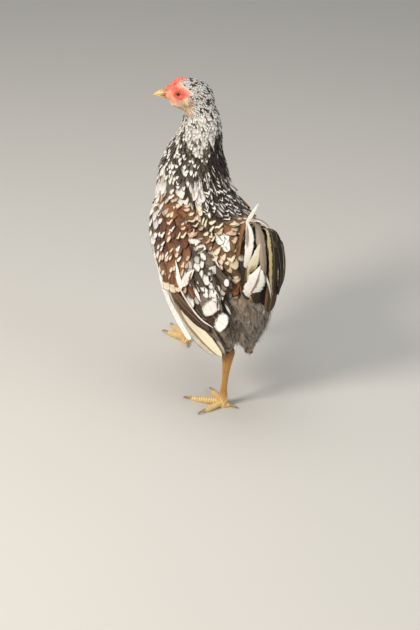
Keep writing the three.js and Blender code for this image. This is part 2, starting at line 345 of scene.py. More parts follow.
def addStudio():
    addLight("keyLight", place(1900, -250, 1500), 0.7, studio["keyPower"], (1, 0.95, 0.88))
    addLight("fillLight", place(-900, -1500, 900), 1.6, studio["fillPower"], (0.9, 0.95, 1))
    addLight("topLight", place(0, 300, 1900), 1.6, studio["topPower"], (1, 0.99, 0.97))
    world = bpy.data.worlds.new("studio")
    world.use_nodes = True
    world.node_tree.nodes["Background"].inputs["Color"].default_value = (0.95, 0.97, 1, 1)
    world.node_tree.nodes["Background"].inputs["Strength"].default_value = studio["sky"]
    bpy.context.scene.world = world
    bpy.context.scene.view_settings.view_transform = "Standard"
    corners = np.array([[-1, -1, 0], [1, -1, 0], [1, 1, 0], [-1, 1, 0]]) * studio["floorReach"]
    floor = makeObject("floor", corners, np.array([[0, 1, 2, 3]]))
    floor.data.materials.append(floorFinish())


# a material's node tree, with short ways to add to it
class Nodes:
    def __init__(self, name):
        self.material = bpy.data.materials.new(name)
        self.material.use_nodes = True
        self.tree = self.material.node_tree
        self.shader = self.tree.nodes["Principled BSDF"]

    def add(self, kind, **settings):
        node = self.tree.nodes.new(kind)
        for key, value in settings.items():
            setattr(node, key, value)
        return node

    def join(self, source, target):
        self.tree.links.new(source, target)

    def feed(self, socket, value):
        if isinstance(value, bpy.types.NodeSocket):
            self.join(value, socket)
        elif isinstance(value, (int, float)):
            socket.default_value = value
        else:
            value = tuple(float(v) for v in value)
            socket.default_value = value + (1.0,) * (len(socket.default_value) - len(value))

    def math(self, operation, *values, clamp=False):
        node = self.add("ShaderNodeMath", operation=operation, use_clamp=clamp)
        for socket, value in zip(node.inputs, values):
            self.feed(socket, value)
        return node.outputs[0]

    def times(self, first, second):
        return self.math("MULTIPLY", first, second)

    def plus(self, first, second):
        return self.math("ADD", first, second)

    def mix(self, share, first, second, blend="MIX"):
        node = self.add("ShaderNodeMix", data_type="RGBA", blend_type=blend)
        self.feed(node.inputs[0], share)
        self.feed(node.inputs[6], first)
        self.feed(node.inputs[7], second)
        return node.outputs[2]

    def between(self, value, low, high, outLow=0.0, outHigh=1.0):
        node = self.add("ShaderNodeMapRange", interpolation_type="SMOOTHSTEP")
        for socket, given in zip(node.inputs, (value, low, high, outLow, outHigh)):
            self.feed(socket, given)
        return node.outputs[0]

    def attribute(self, name, output="Fac"):
        return self.add("ShaderNodeAttribute", attribute_name=name).outputs[output]

    def split(self, vector):
        node = self.add("ShaderNodeSeparateXYZ")
        self.join(vector, node.inputs[0])
        return node.outputs

    def place(self):
        return self.add("ShaderNodeTexCoord").outputs["Object"]

    def noise(self, scale, detail=3.0, vector=None):
        node = self.add("ShaderNodeTexNoise")
        node.inputs["Scale"].default_value = scale
        node.inputs["Detail"].default_value = detail
        self.join(vector or self.place(), node.inputs["Vector"])
        return node.outputs["Fac"]

    def cells(self, scale, feature="F1"):
        node = self.add("ShaderNodeTexVoronoi", feature=feature)
        node.inputs["Scale"].default_value = scale
        self.join(self.place(), node.inputs["Vector"])
        return node.outputs["Distance"]

    def bump(self, height, strength, distance):
        node = self.add("ShaderNodeBump")
        node.inputs["Strength"].default_value = strength
        node.inputs["Distance"].default_value = distance
        self.join(height, node.inputs["Height"])
        self.join(node.outputs["Normal"], self.shader.inputs["Normal"])

    def finish(self, colour, roughness, **sockets):
        self.feed(self.shader.inputs["Base Color"], colour)
        self.feed(self.shader.inputs["Roughness"], roughness)
        for name, value in sockets.items():
            self.feed(self.shader.inputs[name.replace("_", " ")], value)
        return self.material


def floorFinish():
    nodes = Nodes("floorFinish")
    tone = paint(*studio["floorTone"])
    colour = nodes.mix(nodes.noise(3, 2), tone * 0.97, tone)
    return nodes.finish(colour, 0.9)


barbGap = 0.62   # from one barb's ridge to the next, mm


# a feather's vane: ground colour, one mark near its tip, barbs, a quill line, frayed light, and painted
# shade towards its root
def featherFinish(name, quill, sheen, rough, root):
    nodes = Nodes(name)
    vane, spot, lean = (nodes.split(nodes.attribute(k, "Vector")) for k in ("vane", "spot", "lean"))
    across = nodes.math("ABSOLUTE", vane[0])
    barb = nodes.attribute("barb")
    grain = nodes.noise(900, 2)
    lump = nodes.noise(330, 2)
    # the mark: an oval round its middle, bent into an arrow or a crescent, or slid to one edge
    side = nodes.math("DIVIDE", nodes.math("SUBTRACT", vane[0], lean[1]), spot[2])
    shifted = nodes.times(lean[0], across)
    shifted = nodes.plus(nodes.math("SUBTRACT", vane[1], spot[0]), shifted)
    along = nodes.math("DIVIDE", shifted, spot[1])
    reach = nodes.plus(nodes.times(side, side), nodes.times(along, along))
    ragged = nodes.math("MULTIPLY_ADD", grain, 1.2, -0.6)
    ragged = nodes.plus(nodes.math("MULTIPLY_ADD", lump, 2.4, -1.2), ragged)
    reach = nodes.plus(reach, nodes.times(ragged, lean[2]))
    mask = nodes.between(reach, 1.6, 0.5)
    ground = nodes.attribute("ground", "Color")
    depth = nodes.between(ground, 0.4, 0.12)
    halo = nodes.times(nodes.between(reach, 3.4, 1.2), nodes.times(depth, 0.35))
    ground = nodes.mix(halo, ground, nodes.mix(1.0, ground, (0.34, 0.3, 0.28), "MULTIPLY"))
    colour = nodes.mix(mask, ground, nodes.attribute("mark", "Color"))
    # barbs run out and tipward from the quill
    wave = nodes.math("SINE", nodes.times(barb, 2 * math.pi / barbGap))
    streak = nodes.noise(1, 2, barbPlace(nodes, barb, vane[2]))
    value = nodes.math("MULTIPLY_ADD", streak, 0.8, 0.58)
    value = nodes.plus(nodes.times(wave, 0.05), value)
    # painted shade: the vane darkens towards its root, where the next feather lies over it; root is how dark
    # it gets there, 1 for none
    value = nodes.times(value, nodes.between(vane[1], 0.45, 0.88, root, 1.03))
    shade = nodes.add("ShaderNodeCombineColor")
    for socket in shade.inputs:
        nodes.join(value, socket)
    colour = nodes.mix(1.0, colour, shade.outputs[0], "MULTIPLY")
    line = nodes.between(across, 0.09, 0.03)
    colour = nodes.mix(nodes.times(line, quill), colour, paint(190, 172, 146))
    height = nodes.plus(nodes.times(wave, 0.5), nodes.times(line, 1.5))
    nodes.bump(height, 0.55, 0.00022)
    roughness = nodes.between(grain, 0.2, 0.8, rough - 0.08, rough + 0.1)
    return nodes.finish(colour, roughness, Sheen_Weight=sheen, Sheen_Roughness=0.4, Specular_IOR_Level=0.2)


def barbPlace(nodes, barb, chance):
    spread = nodes.add("ShaderNodeCombineXYZ")
    nodes.join(nodes.times(barb, 0.9), spread.inputs[0])
    nodes.join(nodes.times(chance, 37.0), spread.inputs[1])
    return spread.outputs[0]


# bare skin on the face, and the same markings as the coat where feathers grow
def skinFinish():
    nodes = Nodes("skinFinish")
    tone = nodes.attribute("tone", "Color")
    bare = nodes.attribute("bare")
    patches = nodes.noise(260, 4)
    pores = nodes.cells(1150)
    warm = nodes.mix(nodes.between(patches, 0.35, 0.65), (0.82, 0.8, 0.78), (1.12, 1.1, 1.08))
    colour = nodes.mix(1.0, tone, warm, "MULTIPLY")
    deep = nodes.times(nodes.between(pores, 0.55, 0.15), bare)
    colour = nodes.mix(nodes.times(deep, 0.25), colour, paint(250, 170, 140))
    height = nodes.plus(nodes.times(pores, -0.7), nodes.times(patches, 0.8))
    nodes.bump(height, 0.6, 0.0005)
    roughness = nodes.between(patches, 0.3, 0.7, 0.42, 0.62)
    return nodes.finish(colour, roughness, Subsurface_Weight=0.08, Subsurface_Radius=(0.004, 0.0015, 0.001),
                        Subsurface_Scale=0.3)


# horn that changes from its base's colour to its tip's, between low and high along the piece
def hornFinish(name, base, tip, low, high):
    nodes = Nodes(name)
    share = nodes.attribute("along")
    lines = nodes.noise(420, 4)
    colour = nodes.mix(nodes.between(share, low, high), base, tip)
    colour = nodes.mix(nodes.between(lines, 0.4, 0.75, 0, 0.3), colour, base * 0.6)
    nodes.bump(lines, 0.35, 0.0003)
    roughness = nodes.between(lines, 0.3, 0.7, 0.28, 0.42)
    return nodes.finish(colour, roughness, Coat_Weight=0.2, Coat_Roughness=0.25)


def eyeFinish():
    nodes = Nodes("eyeFinish")
    gaze = nodes.attribute("gaze")
    rays = nodes.noise(1400, 4)
    iris = nodes.mix(rays, paint(186, 104, 44), paint(118, 58, 24))
    colour = nodes.mix(nodes.between(gaze, 0.36, 0.42), paint(6, 5, 5), iris)
    colour = nodes.mix(nodes.between(gaze, 0.78, 0.9), colour, paint(34, 18, 12))
    nodes.bump(rays, 0.05, 0.0001)
    roughness = nodes.between(rays, 0.2, 0.8, 0.06, 0.12)
    return nodes.finish(colour, roughness, Specular_IOR_Level=0.35)


def legFinish():
    nodes = Nodes("legFinish")
    tone = nodes.attribute("tone", "Color")
    seam = nodes.attribute("seam")
    dirt = nodes.noise(180, 5)
    fine = nodes.noise(900, 3)
    colour = nodes.mix(nodes.between(dirt, 0.45, 0.8, 0, 0.3), tone, paint(120, 84, 44))
    colour = nodes.mix(nodes.times(seam, 0.55), colour, paint(112, 66, 26))
    nodes.bump(nodes.plus(fine, nodes.times(seam, -0.6)), 0.4, 0.0003)
    roughness = nodes.between(fine, 0.3, 0.7, 0.4, 0.58)
    return nodes.finish(colour, roughness, Coat_Weight=0.08, Coat_Roughness=0.4)


addCamera()
addStudio()
report("camera, light and floor")


# the coat's colours
tones = dict(
    white=paint(240, 235, 226),
    cream=paint(236, 216, 186),
    pale=paint(198, 188, 170),
    straw=paint(230, 219, 190),
    tan=paint(232, 204, 168),
    grey=paint(128, 114, 99),
    charcoal=paint(84, 72, 60),
    black=paint(32, 25, 18),
    mahogany=paint(112, 68, 43),
    rust=paint(146, 95, 58),
    brown=paint(120, 88, 56),
    umber=paint(74, 54, 38),
    soot=paint(50, 38, 27),
    russet=paint(122, 90, 68),
    olive=paint(184, 164, 118),
    lilac=paint(148, 133, 118),
    down=paint(156, 138, 118),
)
flesh = dict(
    coral=paint(222, 88, 74),
    pink=paint(236, 158, 128),
    lobe=paint(232, 200, 160),
    throat=paint(238, 198, 164),
    rim=paint(196, 96, 72),
)


# how the skin is fused and thinned
skinWork = dict(
    voxel=0.75,         # the head's detail, mm
    evenRounds=14,
    bodyShare=0.12,     # how much of the mesh is kept under the feathers
    lids=[(3.75, 0.85, 15.2), (5.1, 1.5, 14.0)],   # the eyelids' rings: radius, thickness, distance out
    lidPoints=40,
    lidSides=10,
    fineAbove=0.006,    # the head keeps all its detail from this far over its lowest point, m
    fineShare=0.88,     # how much is kept besides, for each part of the mesh that is fine
)
# how far the skin lies under each node's outline, for the feathers to make up: mm
coatDepth = dict(
    head=0.5, neck_upper=0.9, neck_lower=2.0, trunk=3.4, wing_left=3.2, wing_right=3.2, tail=10.0,
    thigh_left=3.4, thigh_right=3.4, comb=0, wattle_left=0, wattle_right=0, earlobe_left=0, earlobe_right=0,
)
fleshNodes = list(coatDepth)
# what fills the hollows between the back and each folded wing, and by the standing thigh: left, ahead and up
softFill = dict(
    left=[(41, 124, 262), (42, 98, 262), (43, 72, 250), (44, 42, 236), (45, 16, 221), (43, -6, 204)],
    right=[(-41, 124, 264), (-42, 98, 265), (-43, 72, 256), (-44, 45, 244), (-43, 20, 230), (-38, 2, 216)],
    belly=[(20, 4, 132), (18, -14, 124), (15, -28, 120), (8, -38, 120)],
    radius=dict(left=9.5, right=9.5, belly=12),
    rings=24,
    sides=14,
)


def fillTube(part):
    shares = np.linspace(0, 1, softFill["rings"])
    centres = np.array([place(*p) for p in curveThrough(softFill[part], shares)])
    size = softFill["radius"][part] * millimetre * np.sqrt(np.clip(1 - (2 * shares - 1) ** 6, 0.05, 1))
    along = unit(np.gradient(centres, axis=0))
    across = unit(np.cross(along, upward))
    points, faces = tube(centres, across, np.cross(across, along), size, size, softFill["sides"])
    return points, outwardFaces(points, faces)


eyeLong, eyeHigh = 1.12, 0.92   # the eye's opening against a circle


# the rim of the eyelids: a ring, a little longer than high
def lidRing(hand, radius, thickness, rise):
    rings, sides = skinWork["lidPoints"], skinWork["lidSides"]
    angle = np.linspace(0, 2 * math.pi, rings, endpoint=False)
    out = np.cos(angle) * radius * eyeLong
    up = np.sin(angle) * radius * eyeHigh
    middle = np.array([onHead(o, hand * (rise - 0.05 * o), u) for o, u in zip(out, up)])
    ring = []
    for centre, a in zip(middle, angle):
        outward = beakWay * math.cos(a) + upward * math.sin(a)
        for b in np.linspace(0, 2 * math.pi, sides, endpoint=False):
            offset = outward * math.cos(b) + headSide * hand * math.sin(b)
            ring.append(centre + offset * thickness * millimetre)
    faces = []
    for i in range(rings):
        for j in range(sides):
            a, b = i * sides + j, i * sides + (j + 1) % sides
            c, d = (i + 1) % rings * sides + j, (i + 1) % rings * sides + (j + 1) % sides
            faces += [(a, c, b), (b, c, d)] if hand > 0 else [(a, b, c), (b, d, c)]
    return np.array(ring), outwardFaces(np.array(ring), np.array(faces))


# how bare the skin is, from 0 under feathers to 1 on the face
def bareness(points):
    out, _, up = headWays(points)
    wobble = cloud(points, 0.005, 3) * 1.2
    oval = ((out - 2.5) / 15.5) ** 2 + ((up + 2.2 + 0.1 * out) / 8.6) ** 2
    face = smoothStep(1.12, 0.88, oval + wobble * 0.07)
    muzzle = smoothStep(8, 11, out + wobble * 0.5)
    ear = smoothStep(1.15, 0.85, ((out + 9.5) / 4.5) ** 2 + ((up + 2.5) / 4.2) ** 2)
    chin = smoothStep(1.15, 0.8, ((out - 5) / 8) ** 2 + ((up + 13) / 5.5) ** 2) * 0.9
    brow = smoothStep(-1, 1, out + 10 - 1.6 * (up - 7.2) + wobble * 0.7) * (up > 1)
    return np.maximum.reduce([face, muzzle, ear, chin, brow]) * smoothStep(-26, -22, up)


# the head's top line from the beak to the comb, straight and sloping
def topLine(out):
    return np.minimum(19.6, 19.2 - 0.96 * out)


def buildSkin():
    shapes = [nodeShape(n) for n in fleshNodes] + [fillTube(part) for part in ("left", "right", "belly")]
    shapes += [lidRing(hand, *lid) for hand in (1, -1) for lid in skinWork["lids"]]
    made = fuse("skin", shapes, skinWork["voxel"])
    points, triangles = meshArrays(made.data)
    report(f"skin fused: {len(points)} points")
    pairs = edgePairs(triangles)
    points = coatInset(points, triangles, pairs)
    made.data.vertices.foreach_set("co", points.astype(np.float32).ravel())
    fine = points[:, 2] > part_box("head")[0].z + skinWork["fineAbove"]
    group = made.vertex_groups.new(name="fine")
    for i in np.nonzero(fine)[0]:
        group.add([int(i)], 1, "REPLACE")
    thin = made.modifiers.new("thin", "DECIMATE")
    thin.ratio = skinWork["bodyShare"] + skinWork["fineShare"] * np.mean(fine)
    thin.vertex_group = "fine"
    thin.invert_vertex_group = True
    applyModifiers(made)
    made.vertex_groups.clear()
    report(f"skin thinned: {len(made.data.vertices)} points")
    return made


# draws the fused surface in by the coat's depth, evens it and shapes the face
def coatInset(points, triangles, pairs):
    labels = nearestNode(points)
    depth = np.array([coatDepth[n] for n in fleshNodes])[labels]
    out, _, up = headWays(points)
    isFlap = labels >= fleshNodes.index("comb")
    depth = np.where(isFlap, 0, depth * (1 - bareness(points)))
    depth = evened(depth[:, None], pairs, 30)[:, 0]
    rounds = skinWork["evenRounds"]
    smooth = evened(points, pairs, rounds)
    fine = smoothStep(-16, -6, out) * smoothStep(-22, -18, up) * (up < 30)   # the face stays crisper
    smooth = points + (smooth - points) * (1 - 0.8 * fine[:, None])
    smooth = evened(smooth, pairs, 2)
    normals = evened(pointNormals(smooth, triangles), pairs, 4)
    inset = smooth - unit(normals) * (depth[:, None] + 0.2) * millimetre
    # the thighs are drawn up so that they end just below the tops of the shanks
    for side in ("left", "right"):
        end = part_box(f"shank_{side}")[1].z - 0.008
        low = (labels == fleshNodes.index(f"thigh_{side}")) & (inset[:, 2] < end)
        inset[low, 2] += (end - inset[low, 2]) * 0.85
    inset = evened(inset, pairs, 3)
    return sculptFace(inset, unit(normals), isFlap)


combTeeth = 1.55   # how closely the comb's teeth follow one another, radians to a mm


# folds round the eye, small warts on the bare skin, teeth on the comb
def sculptFace(points, normals, isFlap):
    out, left, up = headWays(points)
    bare = bareness(points) * (np.abs(left) > 3)
    nearHead = (up > -30) & (out > -40)
    ring = np.hypot(out / eyeLong, up / eyeHigh)
    fold = 0.45 * np.exp(-((ring - 6.4) / 0.9) ** 2) - 0.35 * np.exp(-((ring - 5.3) / 0.5) ** 2)
    warts = np.maximum(cloud(points, 0.0016, 8), -0.2) * 0.22 + cloud(points, 0.003, 9) * 0.16
    lift = bare * fold + np.maximum(bare, isFlap * 0.8) * warts * (ring > 4.8)
    ridge = isFlap & (np.abs(left) < 6) & (up > 3)
    teeth = np.maximum(np.sin((out + up * 0.25) * combTeeth), -0.3) * 0.4 * ridge
    lift = np.where(nearHead, lift + teeth, 0)
    points = points + normals * lift[:, None] * millimetre
    over = up - topLine(out) + 1.2 + 0.9 * np.sin(out * combTeeth)
    over = np.where(nearHead & (out > -7) & (up > -2), over, 0)
    lowered = over - 1.2 * (1 - np.exp(-np.maximum(over, 0) / 1.2))
    lowered = np.maximum(lowered, 0) * (over > 0) * smoothStep(-7, -4, out)
    return points - upward * lowered[:, None] * millimetre


# all the flesh nodes in one tree, and the number of the node that each of its triangles belongs to
def buildFleshTree():
    points, triangles, owner, start = [], [], [], 0
    for i, name in enumerate(fleshNodes):
        corners, faces = nodeShape(name)
        points.append(corners)
        triangles.append(faces + start)
        owner += [i] * len(faces)
        start += len(corners)
    points, triangles = np.vstack(points), np.vstack(triangles)
    return BVHTree.FromPolygons(points.tolist(), triangles.tolist()), np.array(owner)


fleshTree, fleshOwner = buildFleshTree()


def nearestNode(points):
    return np.array([fleshOwner[fleshTree.find_nearest(p)[2]] for p in points])


skin = buildSkin()
skinPoints, skinFaces = meshArrays(skin.data)
skinPairs = edgePairs(skinFaces)
skinNormals = unit(evened(pointNormals(skinPoints, skinFaces), skinPairs, 6))
skinTree = BVHTree.FromPolygons(skinPoints.tolist(), skinFaces.tolist())
faceMiddles = skinPoints[skinFaces].mean(1)
skinOwner = nearestNode(faceMiddles)
report("skin ready")


# broad patches that stand out from the pattern: place, reach in mm, ground and mark
patches = [
    dict(at=(44, 126, 283), reach=8, look="pale white"),
    dict(at=(50, 118, 262), reach=9, look="rust white"),
    dict(at=(32, 63, 287), reach=12, look="white lilac"),
    dict(at=(35, 50, 272), reach=6, look="cream white"),
    dict(at=(33, -9, 246), reach=11, look="white lilac"),
    dict(at=(28, -30, 218), reach=10, look="cream tan"),
    dict(at=(63, 36, 184), reach=9, look="white white"),
    dict(at=(62, 30, 196), reach=5, look="white white"),
    dict(at=(64, 52, 190), reach=5, look="white white"),
    dict(at=(64, 62, 160), reach=8, look="cream cream"),
    dict(at=(62, 22, 172), reach=9, look="mahogany rust"),
    dict(at=(24, -33, 190), reach=8, look="rust mahogany"),
]


def markings(points):
    count = len(points)
    left, ahead, up = birdWays(points)
    out, _, height = headWays(points)
    chance = random.random((count, 6))
    blotch = cloud(points, 0.017, 1)
    broad = cloud(points, 0.034, 2)
    ground = np.tile(tones["brown"], (count, 1))
    mark = np.tile(tones["cream"], (count, 1))
    spot = np.tile([0.88, 0.13, 0.7], (count, 1))   # where the mark lies, half its length and half its width
    lean = np.tile([-0.1, 0.0, 0.6], (count, 1))    # its bend, its slide to one side and how ragged it is

    # a ground and a mark for the chosen places, the mark's shape and bend, and the share that shows it
    def dress(chosen, look, spotShape, bend, share=1.0):
        groundTone, markTone = (tones[name] for name in look.split())
        ground[chosen] = groundTone
        mark[chosen] = markTone
        spot[chosen] = spotShape
        lean[chosen, 0] = bend
        mark[chosen & (chance[:, 0] > share)] = groundTone

    thigh = ownedBy(points, "thigh_left", "thigh_right")
    wing = (np.abs(left) > 44.5) & (ahead < 128) & (up < 274) & ~thigh
    back = (up > 232) & (ahead < 100) & ~wing
    dress(np.ones(count, bool), "brown cream", (0.92, 0.13, 0.95), 0.1, 0.85)
    dress(back, "brown cream", (0.9, 0.115, 1.05), 0.08, 0.96)
    dress(back & (blotch > 0.1), "rust cream", (0.9, 0.12, 1.05), 0.08, 0.96)
    dress(back & (blotch < -0.4), "umber straw", (0.9, 0.105, 1.0), 0.08, 0.92)
    dress(back & (up < 248), "brown tan", (0.91, 0.09, 0.95), 0.08, 0.65)
    dress(back & (up < 248) & (blotch < 0), "umber cream", (0.91, 0.09, 0.95), 0.08, 0.75)
    # shoulder and wing
    dress(wing, "mahogany white", (0.91, 0.09, 0.9), 0.1, 0.92)
    dress(wing & (blotch > -0.1), "rust cream", (0.91, 0.09, 1.0), 0.1, 0.92)
    spot[wing & (ahead > 76)] = (0.89, 0.12, 1.05)
    dress(wing & (blotch < -0.5), "umber white", (0.9, 0.1, 0.9), 0.1, 0.92)
    dress(wing & (up > 222) & (ahead < 78), "rust tan", (0.91, 0.085, 0.95), 0.1, 0.6)
    dress(wing & (up > 222) & (ahead < 78) & (blotch < 0), "mahogany cream", (0.91, 0.085, 0.9), 0.1, 0.7)
    inner = wing & (ahead < 18 + 0.36 * (up - 190) + 7 * blotch)
    dress(inner, "umber white", (0.85, 0.21, 0.95), 0.3, 0.85)
    dress(inner & (blotch > 0.25), "brown white", (0.85, 0.2, 0.9), 0.3, 0.85)
    dress(inner & (blotch < -0.45), "charcoal white", (0.86, 0.2, 0.95), 0.3, 0.9)
    greater = wing & (wingShare(points) > 0.56)
    dress(greater & (ahead < 30), "charcoal white", (0.83, 0.2, 0.66), 0, 0.9)
    dress(greater & (ahead < 30) & (blotch > 0), "grey white", (0.83, 0.2, 0.66), 0, 0.9)
    dress(wing & (ahead + 10 * blotch > 104), "brown white", (0.86, 0.15, 1.1), 0, 0.95)
    dress(wing & (ahead + 14 * broad > 112), "white brown", (0.88, 0.1, 0.7), 0, 0.3)
    # breast and flanks
    front = (ahead > 100) & (up < 300) & ~wing
    dress(front, "mahogany white", (0.86, 0.18, 0.85), 0.1, 0.85)
    dress(front & (blotch > -0.15), "white tan", (0.96, 0.05, 1.2), 0.1, 0.35)
    dress(front & (broad < -0.3), "grey white", (0.86, 0.18, 0.8), 0.1, 0.85)
    under = (up < 195) & ~wing
    dress(under, "down pale", (0.9, 0.2, 0.7), 0, 0.25)
    lean[under, 2] = 1
    # neck, from grey-brown with white spots up to white with dark flecks
    neck = (up > 296) | ((up > 268) & (ahead > 52) & (np.abs(left) < 44))
    patchy = cloud(points, 0.0085, 21) + 0.55 * cloud(points, 0.0042, 22) + 0.3 * (chance[:, 3] - 0.5)
    cut = np.interp(up, [282, 294, 300, 320, 334, 352, 385], [0.15, 0.5, 0.74, 0.66, -0.06, -0.04, -0.14])
    cut -= 0.4 * (ahead > 142)
    cut += 0.26 * smoothStep(30, 16, np.hypot(up - 322, ahead - 86)) * (np.abs(left) < 34)
    dress(neck, "charcoal white", (0.84, 0.17, 1.0), 0.05, 0.38)
    dress(neck & (patchy > cut - 0.3), "grey white", (0.84, 0.17, 1.0), 0.05, 0.6)
    dress(neck & (patchy > cut - 0.08), "pale white", (0.84, 0.18, 0.9), 0, 0.8)
    dress(neck & (patchy > cut + 0.04), "white grey", (0.88, 0.1, 0.7), 0, 0.35)
    # the dark nape turns with the head
    bearing = np.degrees(np.arctan2(114 - ahead, left))
    napeWay = 108 + 30 * smoothStep(310, 385, up)
    nape = neck & (np.abs(bearing - napeWay) < 31 + 8 * blotch) & (up < 384)
    dress(nape, "black white", (0.72, 0.36, 0.24), 0, 0.34)
    cape = (up > 266) & (up < 305) & (ahead < 72) & (ahead > 8)
    dress(cape, "soot white", (0.9, 0.085, 0.95), 0.25, 0.9)
    dress(cape & (chance[:, 3] < 0.4), "charcoal white", (0.72, 0.4, 0.24), 0, 0.9)
    dress(neck & ~nape & (up > 330) & (patchy < cut - 0.3), "charcoal grey", (0.86, 0.13, 0.85), 0.05, 0.6)
    paleNape = nape & (up + 22 * broad + 14 * (chance[:, 3] - 0.5) > 352)
    dress(paleNape, "white black", (0.75, 0.26, 0.7), 0, 0.7)
    crown = up > 380
    fleck = cloud(points, 0.0042, 23) + 0.5 * cloud(points, 0.0022, 24) + 0.5 * (chance[:, 3] - 0.5)
    rear = smoothStep(-6, -22, out)
    dress(crown, "white charcoal", (0.72, 0.25, 0.8), 0, 0.12)
    dress(crown & (fleck > 0.44 - 0.08 * rear), "grey black", (0.75, 0.3, 0.8), 0, 0.5)
    dress(crown & (fleck > 0.55 - 0.08 * rear), "black charcoal", (0.75, 0.3, 0.8), 0, 0.4)
    ground[crown] *= 1.08
    cheek = (up > 384) & (height < -5) & (out > -22)
    dress(cheek, "cream tan", (0.7, 0.4, 0.7), 0, 0.5)
    dress(cheek & (blotch > 0.25), "white grey", (0.7, 0.4, 0.7), 0, 0.12)
    lean[up > 262, 2] = 0.95
    # tail and under it
    tail = (ahead < -26) & (up > 172)
    dress(tail, "soot olive", (0.92, 0.1, 0.95), 0.1, 0.6)
    # the tail's right side is black: partly its dark feathers, partly painted shade for the side turned from
    # the light
    dress(tail & (left < 0), "black brown", (0.92, 0.1, 0.9), 0.1, 0.7)
    dress(tail & (blotch > 0.45), "brown pale", (0.9, 0.12, 0.8), 0.1, 0.7)
    fluff = (up < 178) & (ahead < 30) & ~wing
    dress(fluff, "down pale", (0.88, 0.16, 0.5), 0, 0.12)
    for patch in patches:
        for hand in (1, -1):
            spotPlace = place(hand * patch["at"][0], *patch["at"][1:])
            away = np.linalg.norm(points - spotPlace, axis=1) / millimetre
            inside = away + 2 * broad < patch["reach"]
            dress(inside, patch["look"], (0.6, 0.4, 0.12), 0)
    tint = 0.06 * (random.random((count, 3)) - 0.5)
    ground *= 1 + 0.36 * (chance[:, 1:2] - 0.5) + 0.1 * broad[:, None] + tint
    mark *= 1 + 0.12 * (chance[:, 2:3] - 0.5)
    faint = (chance[:, 5] > 0.78) & (up < 290)
    mark[faint] = mark[faint] * 0.6 + ground[faint] * 0.3
    # no two marks alike: they differ in length, width, bend and slide
    spot[:, 1] *= 0.6 + 0.85 * chance[:, 1]
    spot[:, 2] *= 0.65 + 0.6 * chance[:, 2]
    lean[:, 0] += 0.3 * (chance[:, 4] - 0.45)
    lean[:, 1] += 0.7 * (chance[:, 5] - 0.5)
    return dict(ground=ground, mark=mark, spot=spot, lean=lean)


thighHeights = (0.07, 0.19)   # m


# which of the points lie nearest to the named nodes, looked for only at the thighs' heights
def ownedBy(points, *names):
    chosen = np.zeros(len(points), bool)
    low = (points[:, 2] > thighHeights[0]) & (points[:, 2] < thighHeights[1])
    chosen[low] = np.isin(nearestNode(points[low]), [fleshNodes.index(n) for n in names])
    return chosen


# how far a place lies down the folded wing, from 0 at the shoulder to 1 at the secondaries' tips
wingAxis = ((40, 138, 268), (47, -36, 145))


def wingShare(points):
    start, end = (np.array(p, float) * (0, 1, 1) for p in wingAxis)
    away = np.stack(birdWays(points), 1) * (0, 1, 1) - start
    return away @ (end - start) / ((end - start) @ (end - start))


def colourSkin():
    coat = markings(skinPoints)
    tone = evened(coat["ground"] * 0.75 + coat["mark"] * 0.1, skinPairs, 2)
    out, left, up = headWays(skinPoints)
    bare = bareness(skinPoints)
    teardrop = ((out + 2.5) / 10.5) ** 2 + ((up + 0.3 - 0.12 * out) / 6.8) ** 2
    blush = cloud(skinPoints, 0.005, 5) * 0.5 + cloud(skinPoints, 0.0022, 6) * 0.3
    red = smoothStep(1.9, 0.3, teardrop + blush)
    comb = smoothStep(9, 5, topLine(out) - up) * (np.abs(left) < 7) * (out > -8) * (out < 16)
    red = np.maximum(red, comb * (0.75 + 0.4 * blush))
    face = blend(flesh["pink"], flesh["coral"], red[:, None])
    lobe = smoothStep(1.5, 0.6, ((out + 12) / 6) ** 2 + ((up + 10) / 6.5) ** 2 + 0.4 * blush)[:, None]
    face = blend(face, flesh["lobe"], lobe)
    chin = smoothStep(-10, -17, up)[:, None]
    face = blend(face, flesh["throat"], chin)
    rim = np.exp(-((np.hypot(out / eyeLong, up / eyeHigh) - 4.6) / 0.7) ** 2) * (np.abs(left) > 9)
    face = blend(face, flesh["rim"], rim[:, None], 0.7)
    isFlap = smoothStep(17, 19, np.abs(left)) * (np.abs(out + 13) < 5) * (up < -2) * (up > -24)
    cheek = smoothStep(-26, -20, up) * smoothStep(-2, -8, up) * smoothStep(-24, -18, out) * 0.85
    share = np.maximum.reduce([bare, isFlap, comb, cheek])[:, None]
    tone = blend(tone, face, share)
    addAttribute(skin, "tone", "FLOAT_COLOR", tone)
    addAttribute(skin, "bare", "FLOAT", share[:, 0])
    dressPiece(skin, skinFinish(), "body_plumage", *fleshNodes)


# the skin's bake map, and the places on it of each triangle's corners
def unwrapSkin():
    skin.data.uv_layers.new(name="OFBake")
    bpy.context.view_layer.objects.active = skin
    skin.select_set(True)
    bpy.ops.object.mode_set(mode="EDIT")
    bpy.ops.mesh.select_all(action="SELECT")
    bpy.ops.uv.smart_project(angle_limit=math.radians(70), island_margin=0.003)
    bpy.ops.object.mode_set(mode="OBJECT")
    skin.select_set(False)
    data = np.empty(len(skin.data.loops) * 2)
    skin.data.uv_layers["OFBake"].data.foreach_get("uv", data)
    loops = np.empty(len(skin.data.loop_triangles) * 3, np.int64)
    skin.data.loop_triangles.foreach_get("loops", loops)
    return data.reshape(-1, 2)[loops].reshape(-1, 3, 2)


colourSkin()
skinMap = unwrapSkin()
report("skin coloured and unwrapped")


